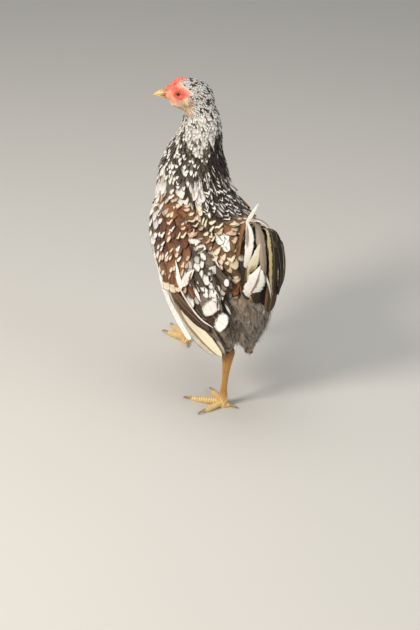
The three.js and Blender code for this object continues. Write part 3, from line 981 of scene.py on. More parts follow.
# where the feathers point, at places down the bird; each is repeated on its other side
lie = [
    ((0, 112, 345), (0, -0.15, -1)), ((24, 112, 345), (0.1, -0.25, -1)),
    ((0, 80, 345), (0, -0.25, -1)), ((0, 148, 340), (0, 0.1, -1)),
    ((38, 112, 305), (0.2, -0.35, -1)), ((0, 62, 300), (0, -0.75, -0.75)),
    ((0, 160, 290), (0, 0.0, -1)), ((30, 75, 292), (0.25, -0.8, -0.7)),
    ((0, 20, 272), (0, -1, -0.05)), ((34, 20, 250), (0.2, -1, -0.4)),
    ((0, -25, 268), (0, -1, -0.1)), ((0, 180, 240), (0, -0.15, -1)),
    ((30, 165, 250), (0.1, -0.35, -1)), ((54, 116, 240), (0.05, -0.75, -0.8)),
    ((60, 80, 210), (0, -0.9, -0.65)), ((60, 30, 190), (0, -0.95, -0.5)),
    ((50, -10, 170), (-0.1, -0.95, -0.45)), ((0, 140, 170), (0, -0.85, -0.5)),
    ((40, 120, 175), (0, -0.85, -0.5)), ((0, 60, 155), (0, -1, -0.15)),
    ((30, 60, 160), (0, -0.8, -0.6)), ((36, 30, 130), (-0.05, -0.55, -0.9)),
    ((20, -20, 130), (0, -0.35, -1)), ((0, -45, 180), (0, -0.3, -1)),
    ((0, -80, 240), (0, -0.25, -1)), ((28, -55, 235), (-0.05, -0.35, -1)),
    ((0, -60, 275), (0, -1, -0.35)), ((18, -68, 195), (-0.15, 0.1, -1)),
]


def lieGuides():
    spots, ways = [], []
    for (left, ahead, up), (wayLeft, wayAhead, wayUp) in lie:
        for hand in (1, -1) if left else (1,):
            spots.append(place(hand * left, ahead, up))
            ways.append(heading(hand * wayLeft, wayAhead, wayUp))
    return np.array(spots), np.array(ways)


guideSpots, guideWays = lieGuides()
lieReach = 0.02   # how far a guide's way carries, m


def lieAt(points):
    away = np.linalg.norm(points[:, None] - guideSpots[None], axis=2) / lieReach
    weight = 1 / (0.05 + away**4)
    body = unit((weight[:, :, None] * guideWays[None]).sum(1))
    out, left, up = headWays(points)
    backward = smoothStep(-46, -22, out) * 1.1
    downward = smoothStep(8, -18, up) + smoothStep(-26, -40, out) * 1.2
    onTop = -beakWay[None] * (0.25 + backward)[:, None] - upward[None] * downward[:, None]
    side = np.sign(left)[:, None] * headSide[None] * 0.25
    head = unit(onTop + side * smoothStep(2, 8, up)[:, None])
    share = smoothStep(368, 388, birdWays(points)[2])[:, None]
    return unit(body * (1 - share) + head * share)


# the skin's nearest places to the points, with the normals and the faces there
def onSkin(points):
    spots = np.empty_like(points)
    faces = np.empty(len(points), np.int64)
    for i, p in enumerate(points):
        spot, _, face, _ = skinTree.find_nearest(p)
        spots[i] = spot
        faces[i] = face
    normals = unit(skinNormals[skinFaces[faces]].mean(1))
    return spots, normals, faces


rootTries = 4.5    # places tried for every root expected
rootSlack = 0.84   # how close two roots may lie, as a share of the gap


# roots spread evenly over the chosen faces: gap is their distance down the coat in mm, and stretch how many
# times wider it is across the coat
def spreadRoots(chosen, gap, stretch=1.0):
    faces = np.nonzero(chosen)[0]
    a, b, c = (skinPoints[skinFaces[faces, i]] for i in range(3))
    area = np.linalg.norm(np.cross(b - a, c - a), axis=1) / 2 / millimetre**2
    gap = np.broadcast_to(gap, len(faces))
    expected = area / gap**2 / stretch
    picks = random.choice(len(faces), int(expected.sum() * rootTries), p=expected / expected.sum())
    share = random.random((len(picks), 2))
    flip = share.sum(1) > 1
    share[flip] = 1 - share[flip]
    first, second = share[:, :1], share[:, 1:]
    roots = a[picks] * (1 - first - second) + b[picks] * first + c[picks] * second
    gaps = gap[picks] * millimetre * rootSlack
    kept, grid = [], {}
    cell = gaps.max() * stretch
    across = unit(np.cross(lieAt(roots), skinNormals[skinFaces[faces[picks], 0]]))
    squeeze = 1 - 1 / stretch**2
    steps = list(np.ndindex(3, 3, 3))

    # whether a kept root lies within this one's gap
    def crowded(i, key):
        x, y, z = roots[i]
        ax, ay, az = across[i]
        for dx, dy, dz in steps:
            for j in grid.get((key[0] + dx - 1, key[1] + dy - 1, key[2] + dz - 1), ()):
                qx, qy, qz = roots[j]
                qx, qy, qz = qx - x, qy - y, qz - z
                gone = qx * qx + qy * qy + qz * qz - squeeze * (qx * ax + qy * ay + qz * az) ** 2
                if gone < gaps[i] ** 2:
                    return True
        return False

    for i, key in enumerate((roots // cell).astype(int).tolist()):
        if not crowded(i, key):
            kept.append(i)
            grid.setdefault(tuple(key), []).append(i)
    kept = np.array(kept)
    weights = np.hstack([1 - first - second, first, second])[kept]
    faces = faces[picks[kept]]
    uv = (skinMap[faces] * weights[:, :, None]).sum(1)
    return roots[kept], faces, uv


vaneThick = dict(contour=0.00022, quill=0.0004, fluff=0.00018)   # m
leastWidth = 0.05   # a vane's narrowest half width, as a share of its widest


# half width along a feather, from 0 at its root to 1 at its tip; point turns a round tip to a sharp one,
# tip is the share that rounds off, and root the share over which it widens
def outline(share, point, tip, root):
    rise = smoothStep(-0.12, root, share)
    roundTip = np.sqrt(np.clip(1 - (np.clip(share - 1 + tip, 0, 1) / tip) ** 2, 0, 1))
    sharpTip = np.clip(1 - share**2.2, 0, 1) ** 0.9
    return rise * (roundTip * (1 - point) + sharpTip * point)


# the rows' places along a feather, closer together towards its tip
def rowShares(rows):
    return np.sin(np.arange(rows) / rows * math.pi / 2) ** 1.08


# closed vanes: rings of columns on top and one keel point beneath, ending in a tip point
def vaneFaces(count, rows, columns):
    ring = columns + 1
    size = rows * ring + 1
    faces = []
    for k in range(rows - 1):
        for j in range(ring):
            i = (j + 1) % ring
            a, b, c, d = k * ring + j, k * ring + i, (k + 1) * ring + i, (k + 1) * ring + j
            faces += [(a, b, c), (a, c, d)]
    last = (rows - 1) * ring
    for j in range(ring):
        faces.append((last + j, last + (j + 1) % ring, size - 1))
    for j in range(1, ring - 1):
        faces.append((0, j + 1, j))
    faces = np.array(faces)
    return (faces[None] + np.arange(count)[:, None, None] * size).reshape(-1, 3)


# builds feathers from spines (count, rows + 1, 3), their normals and half widths in metres
def growVanes(spines, normals, halfWidth, point, columns, camber, thickness,
              wrap=None, fray=0.0, tip=0.4, root=0.42):
    count, rows = spines.shape[0], spines.shape[1] - 1
    share = rowShares(rows)
    tangents = np.gradient(spines, axis=1)
    across = unit(np.cross(tangents, normals))
    normals = unit(np.cross(across, tangents))
    side = np.linspace(-1, 1, columns)
    tip, point = np.broadcast_to(tip, count), np.broadcast_to(point, count)
    width = outline(share[None], point[:, None], tip[:, None], root) * halfWidth[:, None]
    width = np.maximum(width, leastWidth * halfWidth[:, None])
    teeth = 1 + fray * (random.random((count, rows, 2)) - 0.6)
    edge = np.where(side[None, None] < 0, teeth[:, :, :1], teeth[:, :, 1:])
    reach = side[None, None] * width[:, :, None] * np.where(np.abs(side) > 0.9, edge, 1)
    top = spines[:, :rows, None] + across[:, :rows, None] * reach[:, :, :, None]
    drop = camber * np.abs(side)[None, None] ** 2 * width[:, :, None]
    top = top - normals[:, :rows, None] * drop[:, :, :, None]
    if wrap is not None:
        top = wrap(top, drop)
    keel = top[:, :, columns // 2] if columns % 2 else (top[:, :, 0] + top[:, :, -1]) / 2
    keel = keel - normals[:, :rows] * thickness
    rings = np.concatenate([top, keel[:, :, None]], axis=2).reshape(count, -1, 3)
    tips = spines[:, rows:]
    points = np.concatenate([rings, tips], axis=1)
    faces = vaneFaces(count, rows, columns)
    u = np.concatenate([np.tile(np.append(side, 0), rows), [0]])
    v = np.concatenate([np.repeat(share, columns + 1), [1]])
    return points, faces, u, v


# one piece made of many feathers, with its colours and its bake map
def featherPiece(name, batches, finish, slotName, replaced=()):
    points, faces, vane, barb, start = [], [], [], [], 0
    coat = {key: [] for key in ("ground", "mark", "spot", "lean")}
    maps = []
    for batch in batches:
        grown, triangles, u, v = batch["mesh"]
        count, size = grown.shape[0], grown.shape[1]
        points.append(grown.reshape(-1, 3))
        faces.append(triangles + start)
        start += count * size
        chance = random.random(count)
        vane.append(np.stack([np.tile(u, count), np.tile(v, count), np.repeat(chance, size)], 1))
        length = np.asarray(batch["length"])[:, None] / millimetre
        half = np.asarray(batch["half"])[:, None] / millimetre
        barb.append((v[None] * length + np.abs(u)[None] * half * 0.8).ravel())
        for key in coat:
            coat[key].append(np.repeat(batch["coat"][key], size, axis=0))
        patch = np.stack([u * batch["patch"][0] / 2, (v - 0.5) * batch["patch"][1]], 1)
        maps.append((batch["uv"][:, None] + patch[None]).reshape(-1, 2))
    points, faces = np.vstack(points), np.vstack(faces)
    made = makeObject(name, points, faces)
    addAttribute(made, "vane", "FLOAT_VECTOR", np.vstack(vane))
    addAttribute(made, "barb", "FLOAT", np.concatenate(barb))
    for key, values in coat.items():
        kind = "FLOAT_COLOR" if key in ("ground", "mark") else "FLOAT_VECTOR"
        addAttribute(made, key, kind, np.vstack(values))
    layer = made.data.uv_layers.new(name="OFBake")
    layer.data.foreach_set("uv", np.vstack(maps)[faces.ravel()].astype(np.float32).ravel())
    dressPiece(made, finish, slotName, *replaced)
    report(f"{name}: {sum(len(b['uv']) for b in batches)} feathers, {len(faces)} triangles")


rootPatch = (0.003, 0.003)   # what a feather that grows on the skin takes of the bake map
contourLook = dict(
    camber=0.16,
    fray=0.16,
    scatter=0.35,   # how far the feathers' ways differ, radians from side to side
    sink=0.3,       # the roots start this far inside the skin, mm
    colourAt=0.75,  # the share of a feather's length where its markings are read
    maxLaid=0.014,  # a vane further than this from the skin is left as it grew, m
)


# contour feathers that lie on the skin
def contourBatch(chosen, shape, rows, columns, keep=None, stretch=1.0):
    roots, faces, uv = spreadRoots(chosen, shape(faceMiddles[chosen])["gap"], stretch)
    if keep is not None:
        good = keep(roots)
        roots, faces, uv = roots[good], faces[good], uv[good]
    count = len(roots)
    form = shape(roots)
    length = form["length"] * (0.88 + 0.24 * random.random(count)) * millimetre
    half = form["half"] * (0.9 + 0.2 * random.random(count)) * millimetre
    turn = (random.random(count) - 0.5) * form.get("scatter", contourLook["scatter"])
    rise = form["rise"] * (0.75 + 0.5 * random.random(count)) * millimetre
    share = np.append(rowShares(rows), 1.0)
    spot = roots
    normal = unit(skinNormals[skinFaces[faces]].mean(1))
    spines, normals = [spot], [normal]
    for k in range(rows):
        way = lieAt(spot)
        way = unit(way - normal * (way * normal).sum(1, keepdims=True))
        sideways = np.cross(way, normal)
        way = unit(way + sideways * turn[:, None])
        step = length * (share[k + 1] - share[k])
        spot, normal, _ = onSkin(spot + way * step[:, None])
        spines.append(spot)
        normals.append(normal)
    spines, normals = np.stack(spines, 1), np.stack(normals, 1)
    sink = contourLook["sink"] * millimetre
    height = rise[:, None] * share[None] ** 0.85 - sink * (1 - share[None])
    spines = spines + normals * height[:, :, None]

    # lays a vane's rings round the body, so that its edges follow the skin as its middle does
    def wrap(top, drop):
        flat = top.reshape(-1, 3)
        spots, ways, _ = onSkin(flat)
        far = np.linalg.norm(spots - flat, axis=1) > contourLook["maxLaid"]
        lift = (height[:, :rows, None] - drop).reshape(-1)
        laid = spots + ways * lift[:, None]
        laid[far] = flat[far]
        return laid.reshape(top.shape)

    mesh = growVanes(spines, normals, half, form["point"], columns, contourLook["camber"],
                     vaneThick["contour"], wrap, contourLook["fray"])
    coat = markings(spines[:, int(rows * contourLook["colourAt"])])
    return dict(mesh=mesh, coat=coat, uv=uv, patch=rootPatch, length=length, half=half)


# root: how dark the painted shade is at each vane's root, where the next feather covers it; 1.0 paints none
softFeathers = featherFinish("softFeathers", quill=0.15, sheen=0.2, rough=0.72, root=0.7)
fluffFeathers = featherFinish("fluffFeathers", quill=0.0, sheen=0.3, rough=0.8, root=0.88)
stiffFeathers = featherFinish("stiffFeathers", quill=0.3, sheen=0.04, rough=0.66, root=1.0)


# which of the skin's faces lie nearest to the named nodes
def owned(*names):
    return np.isin(skinOwner, [fleshNodes.index(n) for n in names])


# the feathers' measures at places on the coat: gap between roots, length, half width and rise in mm, how
# pointed they are, and how far their ways scatter
def neckShape(points):
    _, ahead, up = birdWays(points)
    down = np.clip((392 - up) / 100, 0, 1)
    nape = smoothStep(98, 84, ahead) * down
    return dict(gap=2.6 + 3.1 * down - 1.5 * nape, length=8 + 10 * down + 9 * nape,
                half=2.1 + 2.5 * down - 1.7 * nape, rise=1.6 + 1.6 * down, point=0.15 + 0.5 * nape,
                scatter=0.6)


def headShape(points):
    out, _, up = headWays(points)
    back = smoothStep(6, -36, out)
    cheek = smoothStep(-3, -8, up) * smoothStep(-24, -16, out)
    return dict(gap=1.3 + 1.0 * back + 0.25 * cheek, length=2.6 + 4.0 * back,
                half=0.75 + 0.85 * back - 0.35 * cheek, rise=0.8 + 0.9 * back, point=0.4, scatter=0.6)


def bodyShape(points):
    _, ahead, up = birdWays(points)
    onBack = smoothStep(225, 245, up)
    cape = onBack * smoothStep(268, 285, up) * smoothStep(80, 66, ahead)
    return dict(gap=6.6 + 0.2 * onBack - 2.9 * cape, length=25 + 3 * onBack - 5 * cape,
                half=7.8 + 0.9 * onBack - 3.9 * cape, rise=3.8 - 0.6 * cape, point=0.12 + 0.3 * cape,
                scatter=0.36)


def wingShape(points):
    rear = smoothStep(115, 20, birdWays(points)[1])
    return dict(gap=7.6, length=23 + 8 * rear, half=9.6 - 0.6 * rear, rise=3.6 + 0.9 * rear, point=0.1)


def tailShape(_):
    return dict(gap=9.5, length=30, half=8, rise=6, point=0.3, scatter=0.5)


def addHeadFeathers():
    chosen = owned("head", "wattle_left", "wattle_right", "earlobe_left", "earlobe_right")
    batch = contourBatch(chosen & (bareness(faceMiddles) < 0.5), headShape, rows=4, columns=3)
    featherPiece("headFeathers", [batch], softFeathers, "neck_plumage")


def addNeckFeathers():
    batch = contourBatch(owned("neck_upper", "neck_lower"), neckShape, rows=8, columns=5)
    featherPiece("neckFeathers", [batch], softFeathers, "neck_plumage")


def addBodyFeathers():
    _, ahead, up = birdWays(faceMiddles)
    low = (up < 178) & (ahead < 60)
    batch = contourBatch(owned("trunk") & ~low, bodyShape, rows=9, columns=7, stretch=1.6)
    featherPiece("bodyFeathers", [batch], softFeathers, "body_plumage")


# the last coverts start above a line that slopes across the folded wing
def aboveCovertLine(points):
    _, ahead, up = birdWays(points)
    below = (136 - ahead) * 0.582 - (268 - up) * 0.813   # mm to the wing's upper side
    rear = 0.06 * smoothStep(36, 10, ahead) * smoothStep(176, 186, up)
    return wingShare(points) < 0.74 + 0.0016 * below - 0.01 * np.maximum(-24 - below, 0) + rear


def addWingCoverts(side):
    chosen = owned(f"wing_{side}")
    batch = contourBatch(chosen, wingShape, rows=9, columns=7, keep=aboveCovertLine, stretch=1.7)
    featherPiece(f"wingCoverts_{side}", [batch], softFeathers, "body_plumage")


def addTailCoverts():
    high = birdWays(faceMiddles)[2] > 206
    batch = contourBatch(owned("tail") & high, tailShape, rows=10, columns=5)
    featherPiece("tailCoverts", [batch], stiffFeathers, "tail_feathers", ["tail"])


# where the hidden quills of the folded wing start and end
quills = dict(
    primaryBase=((60, 112, 188), (58, 92, 212)),   # lowest to highest, as left, ahead and up
    primaryTip=((55, 6, 101), (45, -34, 99)),
    secondaryBase=((60, 84, 190), (52, 40, 232)),
    secondaryTip=((50, -24, 138), (42, -30, 198)),
    bow=5,             # how far a quill bows down in the middle, mm
    layer=0.3,         # each quill lies this far over the one below, mm
    farLift=46,        # how much higher the far wing's tips are folded, mm
    farTuck=9,
)
# the hidden and half hidden quills, from the lowest up: ground and mark
primaryLooks = ["grey pale", "pale grey", "grey white", "pale charcoal", "cream grey", "grey umber",
                "cream pale", "grey pale"]
secondaryLooks = ["umber mahogany", "charcoal white", "charcoal grey", "charcoal white", "grey charcoal",
                  "umber white", "charcoal pale", "umber grey", "charcoal white"]
# the quills that show, from the innermost out: half width, ground and mark, the mark's place and sizes, its
# slant, and the places that each quill goes through
shownQuills = [
    dict(half=6, look="white white", spot=(0.6, 0.34, 0.6), slant=-0.9,
         through=[(61, 110, 176), (62.7, 93, 153), (64.2, 70, 134), (63.2, 47, 117), (60, 21, 100)]),
    dict(half=7.8, look="pale down", spot=(0.5, 0.6, 0.5), slant=-0.5, tip=0.25,
         through=[(58, 104, 190), (61.5, 72, 148), (62, 44, 124), (58, 10, 107), (52, -26, 96)]),
    dict(half=9.0, look="straw olive", spot=(0.5, 0.7, 0.3), slant=0.95, tip=0.22,
         through=[(56, 100, 198), (60.6, 62, 158), (61.8, 34, 132), (57.8, 5, 118), (50.5, -40, 100)]),
    dict(half=8.8, look="russet umber", spot=(0.8, 0.4, 0.8), slant=0.3, tip=0.3,
         through=[(56, 104, 196), (63.2, 70, 158), (65.4, 43, 147), (62, 16, 138), (54, -12, 126)]),
    dict(half=13.8, look="umber white", spot=(0.94, 0.068, 1.12), ragged=0.7, tip=0.062, rear=1.7,
         through=[(48, 92, 200), (55, 46, 180), (59.5, 17, 166), (57.5, -14, 155), (49, -43.5, 144.5)]),
    dict(half=1.7, look="white white", spot=(0.5, 0.5, 0.5), tip=0.5,
         through=[(64, 66, 194), (66.9, 52, 184), (67.2, 41, 168), (65.4, 22, 154), (60, 1, 140),
                  (52, -20, 133)]),
    dict(half=15, look="grey white", spot=(0.912, 0.085, 1.14), ragged=0.55, tip=0.1, rear=0.8,
         through=[(46, 80, 214), (53, 32, 195), (57.5, 2, 178), (57, -24.5, 156)]),
    dict(half=4.6, look="umber white", spot=(0.86, 0.16, 0.62), tip=0.3, ragged=0.7,
         through=[(57, 46, 204), (62, 28, 190), (62.5, 16, 180), (60, 2, 164)]),
    dict(half=5.2, look="charcoal white", spot=(0.86, 0.16, 0.62), tip=0.3, ragged=0.7,
         through=[(56, 28, 210), (60, 12, 197), (59, 0, 187), (54.5, -14, 174)]),
    dict(half=4.6, look="umber white", spot=(0.86, 0.15, 0.62), tip=0.3, ragged=0.7,
         through=[(52, 14, 212), (55, 0, 199), (54, -10, 191), (49, -25, 177)]),
    dict(half=3.6, look="white grey", spot=(0.1, 0.3, 0.3), slant=0.4, tip=0.3, ragged=1.0, rear=0.7,
         through=[(42, 8, 232), (42.5, 0, 222), (41, -7, 211), (37.5, -12, 199)]),
    dict(half=5.0, look="charcoal white", spot=(0.86, 0.13, 0.42), tip=0.3,
         through=[(50, 54, 216), (49, 4, 192), (41, -24, 170), (36, -35, 155)]),
    dict(half=6.5, look="umber white", spot=(0.92, 0.09, 0.6), tip=0.2,
         through=[(50, 66, 230), (51, 22, 214), (48.5, -6, 197), (45, -19, 184)]),
    dict(half=5.5, look="charcoal white", spot=(0.86, 0.16, 0.5), tip=0.25,
         through=[(46, 68, 238), (46, 26, 227), (43, -5, 210), (40, -20, 195)]),
    dict(half=7.6, look="mahogany straw", spot=(0.86, 0.17, 2.2), bend=0.15, slant=0.2, tip=0.12, ragged=1.0,
         through=[(62, 86, 182), (66.2, 78, 167), (66.8, 72, 153)]),
    dict(half=7.8, look="mahogany cream", spot=(0.86, 0.17, 2.2), bend=0.1, slant=-0.2, tip=0.1, ragged=1.0,
         through=[(62, 70, 186), (66.6, 62, 171), (67.2, 56, 156)]),
    dict(half=6.4, look="rust cream", spot=(0.9, 0.1, 2.0), bend=0.1, slant=-0.4, tip=0.12, ragged=1.0,
         through=[(62, 58, 188), (66.8, 50, 175), (67.4, 44, 162)]),
    dict(half=4.6, look="white mahogany", spot=(0.3, 0.2, 0.3), slant=0.6, tip=0.3, ragged=1.3,
         through=[(64, 60, 202), (67.4, 49, 185), (67.8, 37, 170)]),
    dict(half=6.2, look="white brown", spot=(0.2, 0.12, 0.5), bend=-0.3, slant=-0.5, tip=0.4, ragged=1.3,
         through=[(60, 20, 204), (65.8, 29, 188), (68, 36, 174)]),
]


def blendPlaces(pair, share):
    return np.array(pair[0]) * (1 - share) + np.array(pair[1]) * share


quillPatch = (0.08, 0.17)   # what a quill takes of its piece's bake map, in a grid of ten by five


# long vanes from lists of places, outward ways, half widths and looks
def quillBatch(entries, rows, columns, point, camber, firstCell, fray=0.05, root=0.42):
    shares = np.append(rowShares(rows), 1.0)
    spines, normals, half, sharpness = [], [], [], []
    coat = dict(ground=[], mark=[], spot=[], lean=[])
    for entry in entries:
        spines.append(curveThrough(np.array([place(*p) for p in entry["through"]]), shares))
        facing = np.array([heading(*w) for w in entry["facing"]])
        normals.append(unit(curveThrough(facing, shares)))
        half.append(entry["half"] * millimetre)
        sharpness.append(entry.get("point", point))
        ground, mark = entry["look"].split()
        coat["ground"].append(tones[ground] * (0.9 + 0.2 * random.random()))
        coat["mark"].append(tones[mark] * (0.92 + 0.16 * random.random()))
        coat["spot"].append(entry["spot"])
        coat["lean"].append((entry.get("bend", 0), entry.get("slant", 0), entry.get("ragged", 0.35)))
    spines, normals, half = np.array(spines), np.array(normals), np.array(half)
    length = np.linalg.norm(np.diff(spines, axis=1), axis=2).sum(1)
    tip = np.clip([entry.get("tip", 1.1 * h / n) for entry, h, n in zip(entries, half, length)], 0.05, 0.6)
    mesh = growVanes(spines, normals, half, sharpness, columns, camber, vaneThick["quill"],
                     fray=fray, tip=tip, root=root)
    cells = firstCell + np.arange(len(entries))
    uv = np.stack([0.05 + 0.1 * (cells % 10), 0.1 + 0.2 * (cells // 10)], 1)
    coat = {key: np.array(value, float) for key, value in coat.items()}
    return dict(mesh=mesh, coat=coat, uv=uv, patch=quillPatch, length=length, half=half)


def addWingQuills(side):
    hand = 1 if side == "left" else -1

    # the right wing, on the far side of the view, is folded a little higher
    def fold(spot, reach):
        left, ahead, up = spot
        if hand < 0:
            return (-(left - quills["farTuck"] * reach), ahead + 22 * reach, up + quills["farLift"] * reach)
        return (left, ahead, up)

    def hidden(kind, looks):
        made = []
        for i, look in enumerate(looks):
            share = i / (len(looks) - 1)
            base = np.array(blendPlaces(quills[f"{kind}Base"], share), float)
            tip = np.array(blendPlaces(quills[f"{kind}Tip"], share), float)
            layer = i * quills["layer"] + (0.8 if kind == "secondary" else 0)
            base[0] += layer * 0.5 - (9 if kind == "secondary" else 5)
            tip[0] += layer * 0.4 - 2
            tip[1] += 8 * (random.random() - 0.5)
            middle = base * 0.5 + tip * 0.5 + np.array([1.5, 0, -quills["bow"]])
            made.append(dict(
                through=[fold(base, 0.1), fold(middle, 0.55), fold(tip, 1)],
                facing=[(hand, 0.1, 0.1), (hand, 0, 0.12), (hand, -0.25, 0.15)],
                half=7.6, look=look, spot=(0.93, 0.06, 0.7),
            ))
        return made

    shown = []
    for entry in shownQuills:
        last = len(entry["through"]) - 1
        rear = entry.get("rear", 0.35)   # how far the tip turns to face the tail
        shown.append(dict(
            entry,
            through=[fold(p, 0.1 + 0.9 * i / last) for i, p in enumerate(entry["through"])],
            facing=[(hand, 0.1, 0.1)] * (last - 1) + [(hand, -0.2, 0.1), (hand, -rear, 0.2)],
            slant=entry.get("slant", 0) * hand,
        ))
    batches = [
        quillBatch(hidden("primary", primaryLooks), rows=26, columns=7, point=0.35, camber=0.1, firstCell=0),
        quillBatch(hidden("secondary", secondaryLooks), rows=26, columns=7, point=0.05, camber=0.12,
                   firstCell=10),
        quillBatch(shown, rows=34, columns=9, point=0.0, camber=0.12, firstCell=20, fray=0.1),
    ]
    featherPiece(f"wingQuills_{side}", batches, stiffFeathers, "flight_feathers", [f"primaries_{side}"])


# the tail: a closed, drooping fan wrapped round, with loose coverts over its left side
tailFan = dict(count=10, sway=26, spread=84, half=11, bottom=166, reach=29, centre=-46)
# the coverts that show on the left: half width, tip sharpness, ground and mark, the mark's place and sizes,
# its slant, and the places that each covert goes through
tailShows = [
    # the first two, soot and black, carry olive marks along one edge: partly fringes, partly painted sheen
    dict(half=7.8, point=0.4, look="soot olive", spot=(0.5, 0.7, 0.4), slant=0.8, ragged=1.1,
         through=[(-6, -26, 268), (-2, -56, 275), (5.5, -77, 254), (8, -84, 226), (4, -80, 196)]),
    dict(half=7.4, point=0.4, look="black olive", spot=(0.5, 0.3, 0.3), slant=0.85, ragged=1.2,
         through=[(-12, -26, 266), (-10, -56, 273), (-3, -77, 250), (-4, -83, 224), (-7, -77, 192)]),
    dict(half=2.0, point=1.0, look="pale white", spot=(0.5, 0.4, 0.4),
         through=[(15, -72, 230), (14, -81, 216), (10, -81, 204), (6, -79, 190)]),
    dict(half=6.5, point=0.4, look="rust mahogany", spot=(0.7, 0.4, 0.5), slant=-0.4,
         through=[(27, -42, 228), (28, -47, 210), (26, -44, 196), (23, -37, 184)]),
    dict(half=6.4, point=0.4, look="lilac down", spot=(0.6, 0.4, 0.5), slant=0.5,
         through=[(7, -34, 281), (11, -50, 275), (17, -66, 260), (19, -75, 241), (16, -76, 224)]),
    dict(half=11.5, point=0.05, look="white lilac", spot=(0.45, 0.35, 0.14), slant=-0.1, ragged=1.2,
         facing=[(0.7, -1, 0.4)] * 5,
         through=[(20, -72, 238), (25, -74, 226), (27, -71, 212), (26, -62, 198), (22, -54, 185)]),
    dict(half=7.4, point=0.75, look="straw olive", spot=(0.12, 0.3, 0.6), slant=0.3, ragged=1.0,
         through=[(28, -56, 222), (29.5, -64, 234), (26, -67, 248), (18, -63, 264)]),
    dict(half=6.8, point=0.3, look="white lilac", spot=(0.3, 0.2, 0.4), slant=0.4,
         through=[(13, -24, 281), (21, -42, 273), (28.5, -54, 257), (31, -54, 240), (28, -46, 224)]),
    dict(half=5.2, point=0.5, look="rust brown", spot=(0.7, 0.3, 0.8),
         through=[(12, -20, 279), (22, -28, 271), (28, -33, 255), (31, -37, 238)]),
    dict(half=2.6, point=0.8, look="lilac white", spot=(0.5, 0.5, 0.4), slant=0.6,
         facing=[(0.6, -0.6, 0.8)] * 4,
         through=[(10, -30, 280), (5, -36, 284), (-2, -42, 281), (-8, -47, 275)]),
    dict(half=3.1, point=0.6, look="white white", spot=(0.5, 0.5, 0.5),
         facing=[(1, -0.8, 0.3)] * 4,
         through=[(17, -24, 266), (13, -28, 281), (9, -31, 292), (4, -35, 306)]),
]


def addTailQuills():
    entries = []
    for i in range(tailFan["count"]):
        share = (i + 0.5) / tailFan["count"] * 2 - 1
        angle = math.radians(share * tailFan["spread"] + 8 * (random.random() - 0.5))
        sideways, behind = math.sin(angle), math.cos(angle)
        reach = tailFan["reach"] + (1 - abs(share)) * 2.2 + (i % 3) * 0.7
        sway = math.radians(tailFan["sway"] * (random.random() - 0.5))

        def around(out, up, turn=0.0):
            way = angle + turn * sway
            return (math.sin(way) * reach * out, tailFan["centre"] - math.cos(way) * reach * out, up)

        bottom = tailFan["bottom"] + 16 * abs(share) + 13 * (share < -0.3) + 8 * random.random()
        through = [(6 * sideways, -12, 258), around(0.62, 268 - 8 * abs(share)), around(0.93, 240, 0.2),
                   around(0.98, 210, 0.6), around(0.8, bottom, 1)]
        facing = [(0.3 * sideways, -0.1, 1)] + [(sideways, -behind, rise) for rise in (0.6, 0.1, 0)]
        # each fan feather's mark lies along one edge: partly a brown fringe, partly painted sheen along the
        # black vane
        ground = ("black", "soot", "umber")[i % 3] if share < 0.6 else "soot"
        mark = ("umber", "olive", "brown")[int(random.random() * 3)]
        half = tailFan["half"] * (0.75 + 0.35 * random.random())
        entries.append(dict(through=through, facing=facing, half=half, look=f"{ground} {mark}",
                            spot=(0.25 + 0.5 * random.random(), 0.25 + 0.2 * random.random(), 0.25),
                            slant=0.95 - 0.25 * random.random(), ragged=1.3))
    shows = []
    for entry in tailShows:
        middle = np.array([4, -44, 226])
        facing = [tuple((np.array(p) - middle) * (1, 1, 0.8)) for p in entry["through"]]
        shows.append(dict(dict(facing=facing, tip=0.3), **entry))
    batches = [
        quillBatch(entries, rows=30, columns=9, point=0.25, camber=0.14, firstCell=0, root=0.8),
        quillBatch(shows, rows=30, columns=9, point=0.4, camber=0.2, firstCell=10, fray=0.25),
    ]
    featherPiece("tailQuills", batches, stiffFeathers, "tail_feathers", ["tail"])


# soft fluff on the thighs, belly and under the tail: sizes in mm
fluffLook = dict(gap=4.5, blades=8, length=15, width=0.5, fan=1.0, stray=1.7, lift=0.6)


def fluffBatch(chosen):
    roots, faces, uv = spreadRoots(chosen, fluffLook["gap"])
    blades, rows = fluffLook["blades"], 4
    count = len(roots) * blades
    tufts = random.random((len(roots), 2))
    roots, faces, uv, tufts = (np.repeat(a, blades, axis=0) for a in (roots, faces, uv, tufts))
    normal = unit(skinNormals[skinFaces[faces]].mean(1))
    way = lieAt(roots)
    way = unit(way - normal * (way * normal).sum(1, keepdims=True))
    side = np.cross(way, normal)
    chance = random.random((count, 6))
    fan = (chance[:, :1] - 0.5) * fluffLook["fan"] + (tufts[:, :1] - 0.5) * fluffLook["stray"]
    way = unit(way + side * fan + normal * chance[:, 1:2] * fluffLook["lift"])
    length = fluffLook["length"] * (0.6 + 0.7 * chance[:, 2]) * fluffShare(roots) * millimetre
    share = np.append(rowShares(rows), 1.0)
    curl = side * ((chance[:, 3:4] - 0.5) * 0.7) - normal * 0.25 + heading(0, -0.1, -1) * 0.35
    spines = roots[:, None] + way[:, None] * (length[:, None] * share[None])[:, :, None]
    spines += curl[:, None] * (length[:, None] * share[None] ** 2)[:, :, None]
    normals = np.repeat(normal[:, None], rows + 1, axis=1)
    half = fluffLook["width"] * (0.7 + 0.6 * chance[:, 4]) * millimetre
    mesh = growVanes(spines, normals, half, point=1.0, columns=2, camber=0, thickness=vaneThick["fluff"])
    coat = markings(roots)
    dim = 0.3 + 0.3 * chance[:, 5:6] + 0.6 * np.abs(cloud(roots, 0.009, 12))[:, None]
    wisp = 0.95 * tufts[:, 1:] ** 1.9
    coat["ground"] = coat["ground"] * dim * (1 - wisp) + paint(194, 184, 173) * wisp
    coat["mark"] = coat["ground"]
    return dict(mesh=mesh, coat=coat, uv=uv, patch=rootPatch, length=length, half=half)


